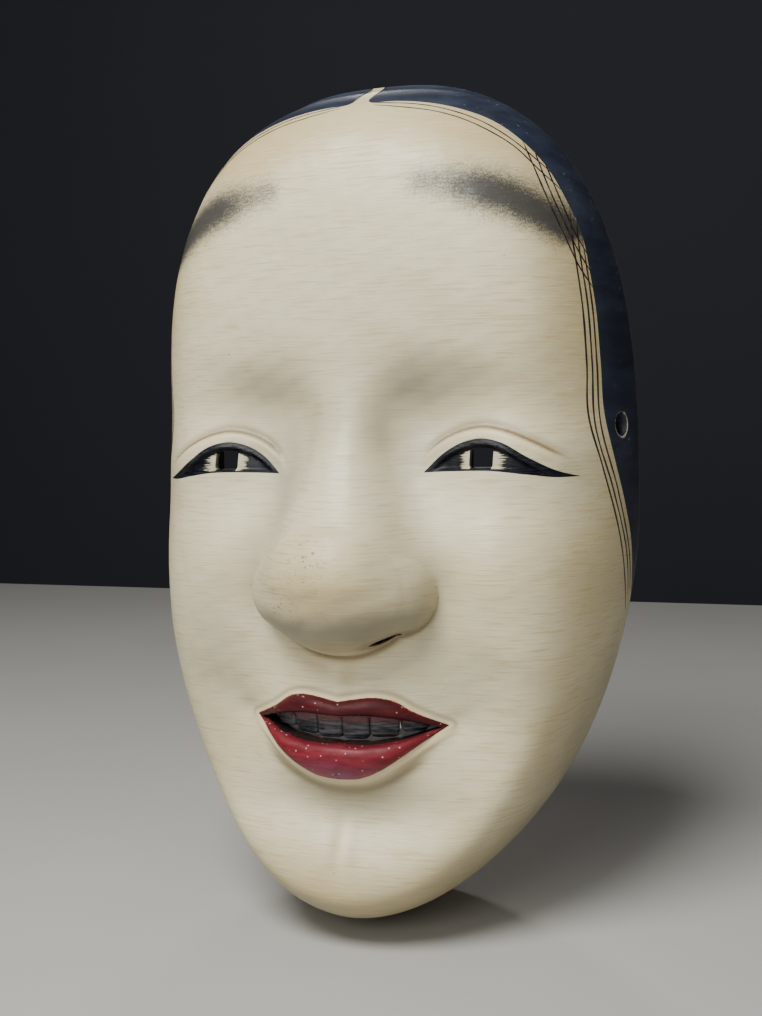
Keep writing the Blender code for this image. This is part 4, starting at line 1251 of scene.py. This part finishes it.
def loft(bm, sections):
    """Adds a closed solid through sections of equal length."""
    rings = [[bm.verts.new(Vector(p) * MM) for p in section] for section in sections]
    faces = [bm.faces.new(rings[0][::-1]), bm.faces.new(rings[-1])]
    for low, high in zip(rings[:-1], rings[1:]):
        for k in range(len(low)):
            j = (k + 1) % len(low)
            faces.append(bm.faces.new((low[k], low[j], high[j], high[k])))
    bmesh.ops.recalc_face_normals(bm, faces=faces)


def rectangle(x, z, size_x, size_z, y):
    half_x, half_z = 0.5 * size_x, 0.5 * size_z
    return [(x + i * half_x, y, z + j * half_z) for i, j in ((-1, -1), (1, -1), (1, 1), (-1, 1))]


def oval(centre, along, across, count):
    turns = np.linspace(0.0, 2.0 * math.pi, count, endpoint=False)
    return [tuple(centre + along * math.cos(t) + across * math.sin(t)) for t in turns]


def hole_tools():
    """All the holes of the wood as one set of closed cutters."""
    bm = bmesh.new()
    for side in (1, -1):
        x, z = side * EYE_HOLE[0], EYE_HOLE[1]
        wide, tall = EYE_HOLE_SIZE
        loft(bm, [
            rectangle(x, z, wide, tall, -55.0), rectangle(x, z, wide, tall, -35.0),
            rectangle(x, z, wide + 16.0, tall + 13.0, -18.0),
        ])
        centre, drill, along, across = nostril_axes(side)
        ends = (centre - drill * 8.0, centre + drill * 24.0)
        loft(bm, [oval(end, along * NOSTRIL_RADII[0], across * NOSTRIL_RADII[1], 32) for end in ends])
        centre = np.array([side * 64.0, -CORD_HOLE[0], CORD_HOLE[1]])
        up, out = np.array([0.0, 0.0, CORD_HOLE_RADIUS]), np.array([0.0, CORD_HOLE_RADIUS, 0.0])
        reach = np.array([14.0, 0.0, 0.0])
        loft(bm, [oval(centre + reach * end, up, out, 48) for end in (-1.0, 1.0)])
    top = edge_line([(x, z + 2.4) for x, z in LIP_INNER_TOP], 2.0)
    low = edge_line(LIP_INNER_LOW, 2.0)
    right = np.concatenate([top, low[::-1]])
    loop = np.concatenate([right, mirrored(right)[::-1][1:-1]])
    loft(bm, [[(x, y, z) for x, z in loop] for y in (-62.0, -20.0)])
    mesh = bpy.data.meshes.new("hole_tools")
    bm.to_mesh(mesh)
    bm.free()
    return placed("hole_tools", mesh)


def sunk(plan):
    """Front of the wood, sunk square to the skins, but level with their turned-in edge at the rim."""
    nudge = 0.2
    along_u = front(*(plan + (nudge, 0.0)).T) - front(*(plan - (nudge, 0.0)).T)
    along_w = front(*(plan + (0.0, nudge)).T) - front(*(plan - (0.0, nudge)).T)
    outward = np.cross(along_u, along_w)
    outward /= np.maximum(np.linalg.norm(outward, axis=1, keepdims=True), 1e-9)
    share = rolled(*plan.T)[2]
    deeper = 0.7 * (1.0 - step(share, 0.90, 0.995))
    return front(*plan.T, TURN_IN) - outward * deeper[:, None]


def build_wood():
    """Carved block behind the skins: front, flat back rim and tooled hollow, pierced by the holes."""
    rim = rim_point(rim_angles())
    coarse, fine = lattice(3.0), lattice(1.2)
    near_holes = np.concatenate([coarse[~in_fine_area(coarse)], fine[in_fine_area(fine)]])
    outer_plan, outer_faces = triangulate([rim], [], near_holes)
    inner_plan, inner_faces = triangulate([rim], [], lattice(1.5))
    outer, inner = sunk(outer_plan), hollow(*inner_plan.T)
    count = len(outer)
    ring = {tuple(np.round(outer_plan[a], 3)): a for a, _ in border(outer_faces)}
    faces = outer_faces.tolist() + (inner_faces[:, ::-1] + count).tolist()
    for a, b in border(inner_faces):
        outer_a, outer_b = (ring[tuple(np.round(inner_plan[k], 3))] for k in (a, b))
        faces.append((outer_b, outer_a, a + count, b + count))
    obj = mesh_object("carved_wood", np.concatenate([outer, inner]), faces, wood_finish())
    tools = hole_tools()
    cut = obj.modifiers.new("holes", "BOOLEAN")
    cut.operation, cut.solver, cut.object = "DIFFERENCE", "EXACT", tools
    graph = bpy.context.evaluated_depsgraph_get()
    mesh = bpy.data.meshes.new_from_object(obj.evaluated_get(graph))
    obj.modifiers.clear()
    obj.data = mesh
    bpy.data.objects.remove(tools)
    mesh.shade_smooth()
    mesh.set_sharp_from_angle(angle=math.radians(32.0))
    x, z, depth = points_of(obj)
    a = np.abs(x)
    buried = skin_depth(x, z) - depth
    ink = (1.0 - step(buried, 6, 11)) * (a < 48.0) * (z < 4.0) * (z > -92.0)
    in_mouth = (a < 25.0) & (z < through(LIP_INNER_TOP, a) + 2.6) & (z > through(LIP_INNER_LOW, a) - 0.3)
    ink = np.where(in_mouth, 1.0 - step(buried, 14, 22), ink)
    grime = 0.5 * np.exp(-depth / 2.0)
    grime += hills(
        a, z, (0.8, 0, -76, 22, 8), (0.7, 34.6, -8, 11, 8), (0.5, 8, -46, 10, 7), (0.2, 0, 62, 34, 18),
    )
    mark(obj, ink=ink, grime=np.clip(grime, 0.0, 1.0))
    return obj


# ------------------------------------------------------------------ put together

made = build_front()
strand_ink = strand_finish()
for hand in (1, -1):
    made[build_strands(hand, strand_ink)] = (None, "ink_black")
made[build_teeth()] = ("tooth_row", "tooth_black")
made[build_gum()] = (None, "dark_red")
made[build_wood()] = ("wood_body", "cypress")
for obj, (node, slot_name) in made.items():
    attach(obj, "root")
    if node:
        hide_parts(node)


# ------------------------------------------------------------------ stage, light and camera


def plain_material(name, colour, roughness):
    f = Finish(name, roughness)
    darker = tuple(0.85 * c for c in colour[:3]) + (1.0,)
    f.colour(f.mix(f.range(f.noise(12, 3), 0.3, 0.7, 0.0, 0.25), colour, darker))
    return f.mat


def stage_plane(name, corners, mat):
    mesh = bpy.data.meshes.new(name)
    mesh.from_pydata(corners, [], [tuple(range(len(corners)))])
    mesh.materials.append(mat)
    placed(name, mesh)


stage_plane(
    "floor", [(x * FLOOR_HALF, y * FLOOR_HALF, FLOOR_Z) for x, y in ((-1, -1), (1, -1), (1, 1), (-1, 1))],
    plain_material("pale_floor", paint(176, 175, 170), 0.7),
)
stage_plane(
    "backdrop",
    [(x, WALL_Y, z) for x, z in (
        (WALL_LEFT, FLOOR_Z), (WALL_RIGHT, FLOOR_Z), (WALL_RIGHT, WALL_TOP), (WALL_LEFT, WALL_TOP),
    )],
    plain_material("dark_backdrop", paint(17, 21, 31), 0.9),
)


def soft_light(name, place, size, energy, colour, aim=MASK_MIDDLE):
    data = bpy.data.lights.new(name, "AREA")
    data.shape, data.size, data.energy, data.color = "DISK", size, energy, colour
    obj = placed(name, data)
    obj.location = place
    obj.rotation_mode = "QUATERNION"
    obj.rotation_quaternion = (Vector(aim) - Vector(place)).to_track_quat("-Z", "Y")
    return obj


soft_light("key", (-0.11, -0.46, 0.60), 0.42, 9.6, (1.0, 0.99, 0.97))
soft_light("front", (-0.04, -0.76, 0.26), 0.30, 1.7, (1.0, 0.99, 0.96))
soft_light("fill", (0.60, -0.50, 0.20), 0.50, 0.6, (1.0, 0.95, 0.86))
# A weak light for the hollow, kept out of the picture
behind = soft_light("back", (-0.150, 0.44, 0.300), 0.12, 0.05, (1.0, 0.98, 0.95))
behind.visible_camera = False
behind.data.spread = math.radians(50.0)

world = bpy.data.worlds.new("soft_room")
world.use_nodes = True
world.node_tree.nodes["Background"].inputs["Color"].default_value = (0.62, 0.64, 0.68, 1.0)
world.node_tree.nodes["Background"].inputs["Strength"].default_value = 0.09
bpy.context.scene.world = world

camera_data = bpy.data.cameras.new("camera")
camera_data.sensor_fit = "VERTICAL"
camera_data.sensor_height = 36.0
camera_data.lens = 44.0
camera_data.clip_start, camera_data.clip_end = 0.01, 20.0
camera = placed("camera", camera_data)
level = math.cos(CAMERA_PITCH)
back = Vector((math.sin(CAMERA_YAW) * level, -math.cos(CAMERA_YAW) * level, math.sin(CAMERA_PITCH)))
camera.location = CAMERA_AIM + back * CAMERA_DISTANCE
camera.rotation_mode = "QUATERNION"
camera.rotation_quaternion = (-back).to_track_quat("-Z", "Y") @ Quaternion((0.0, 0.0, 1.0), CAMERA_ROLL)
bpy.context.scene.camera = camera
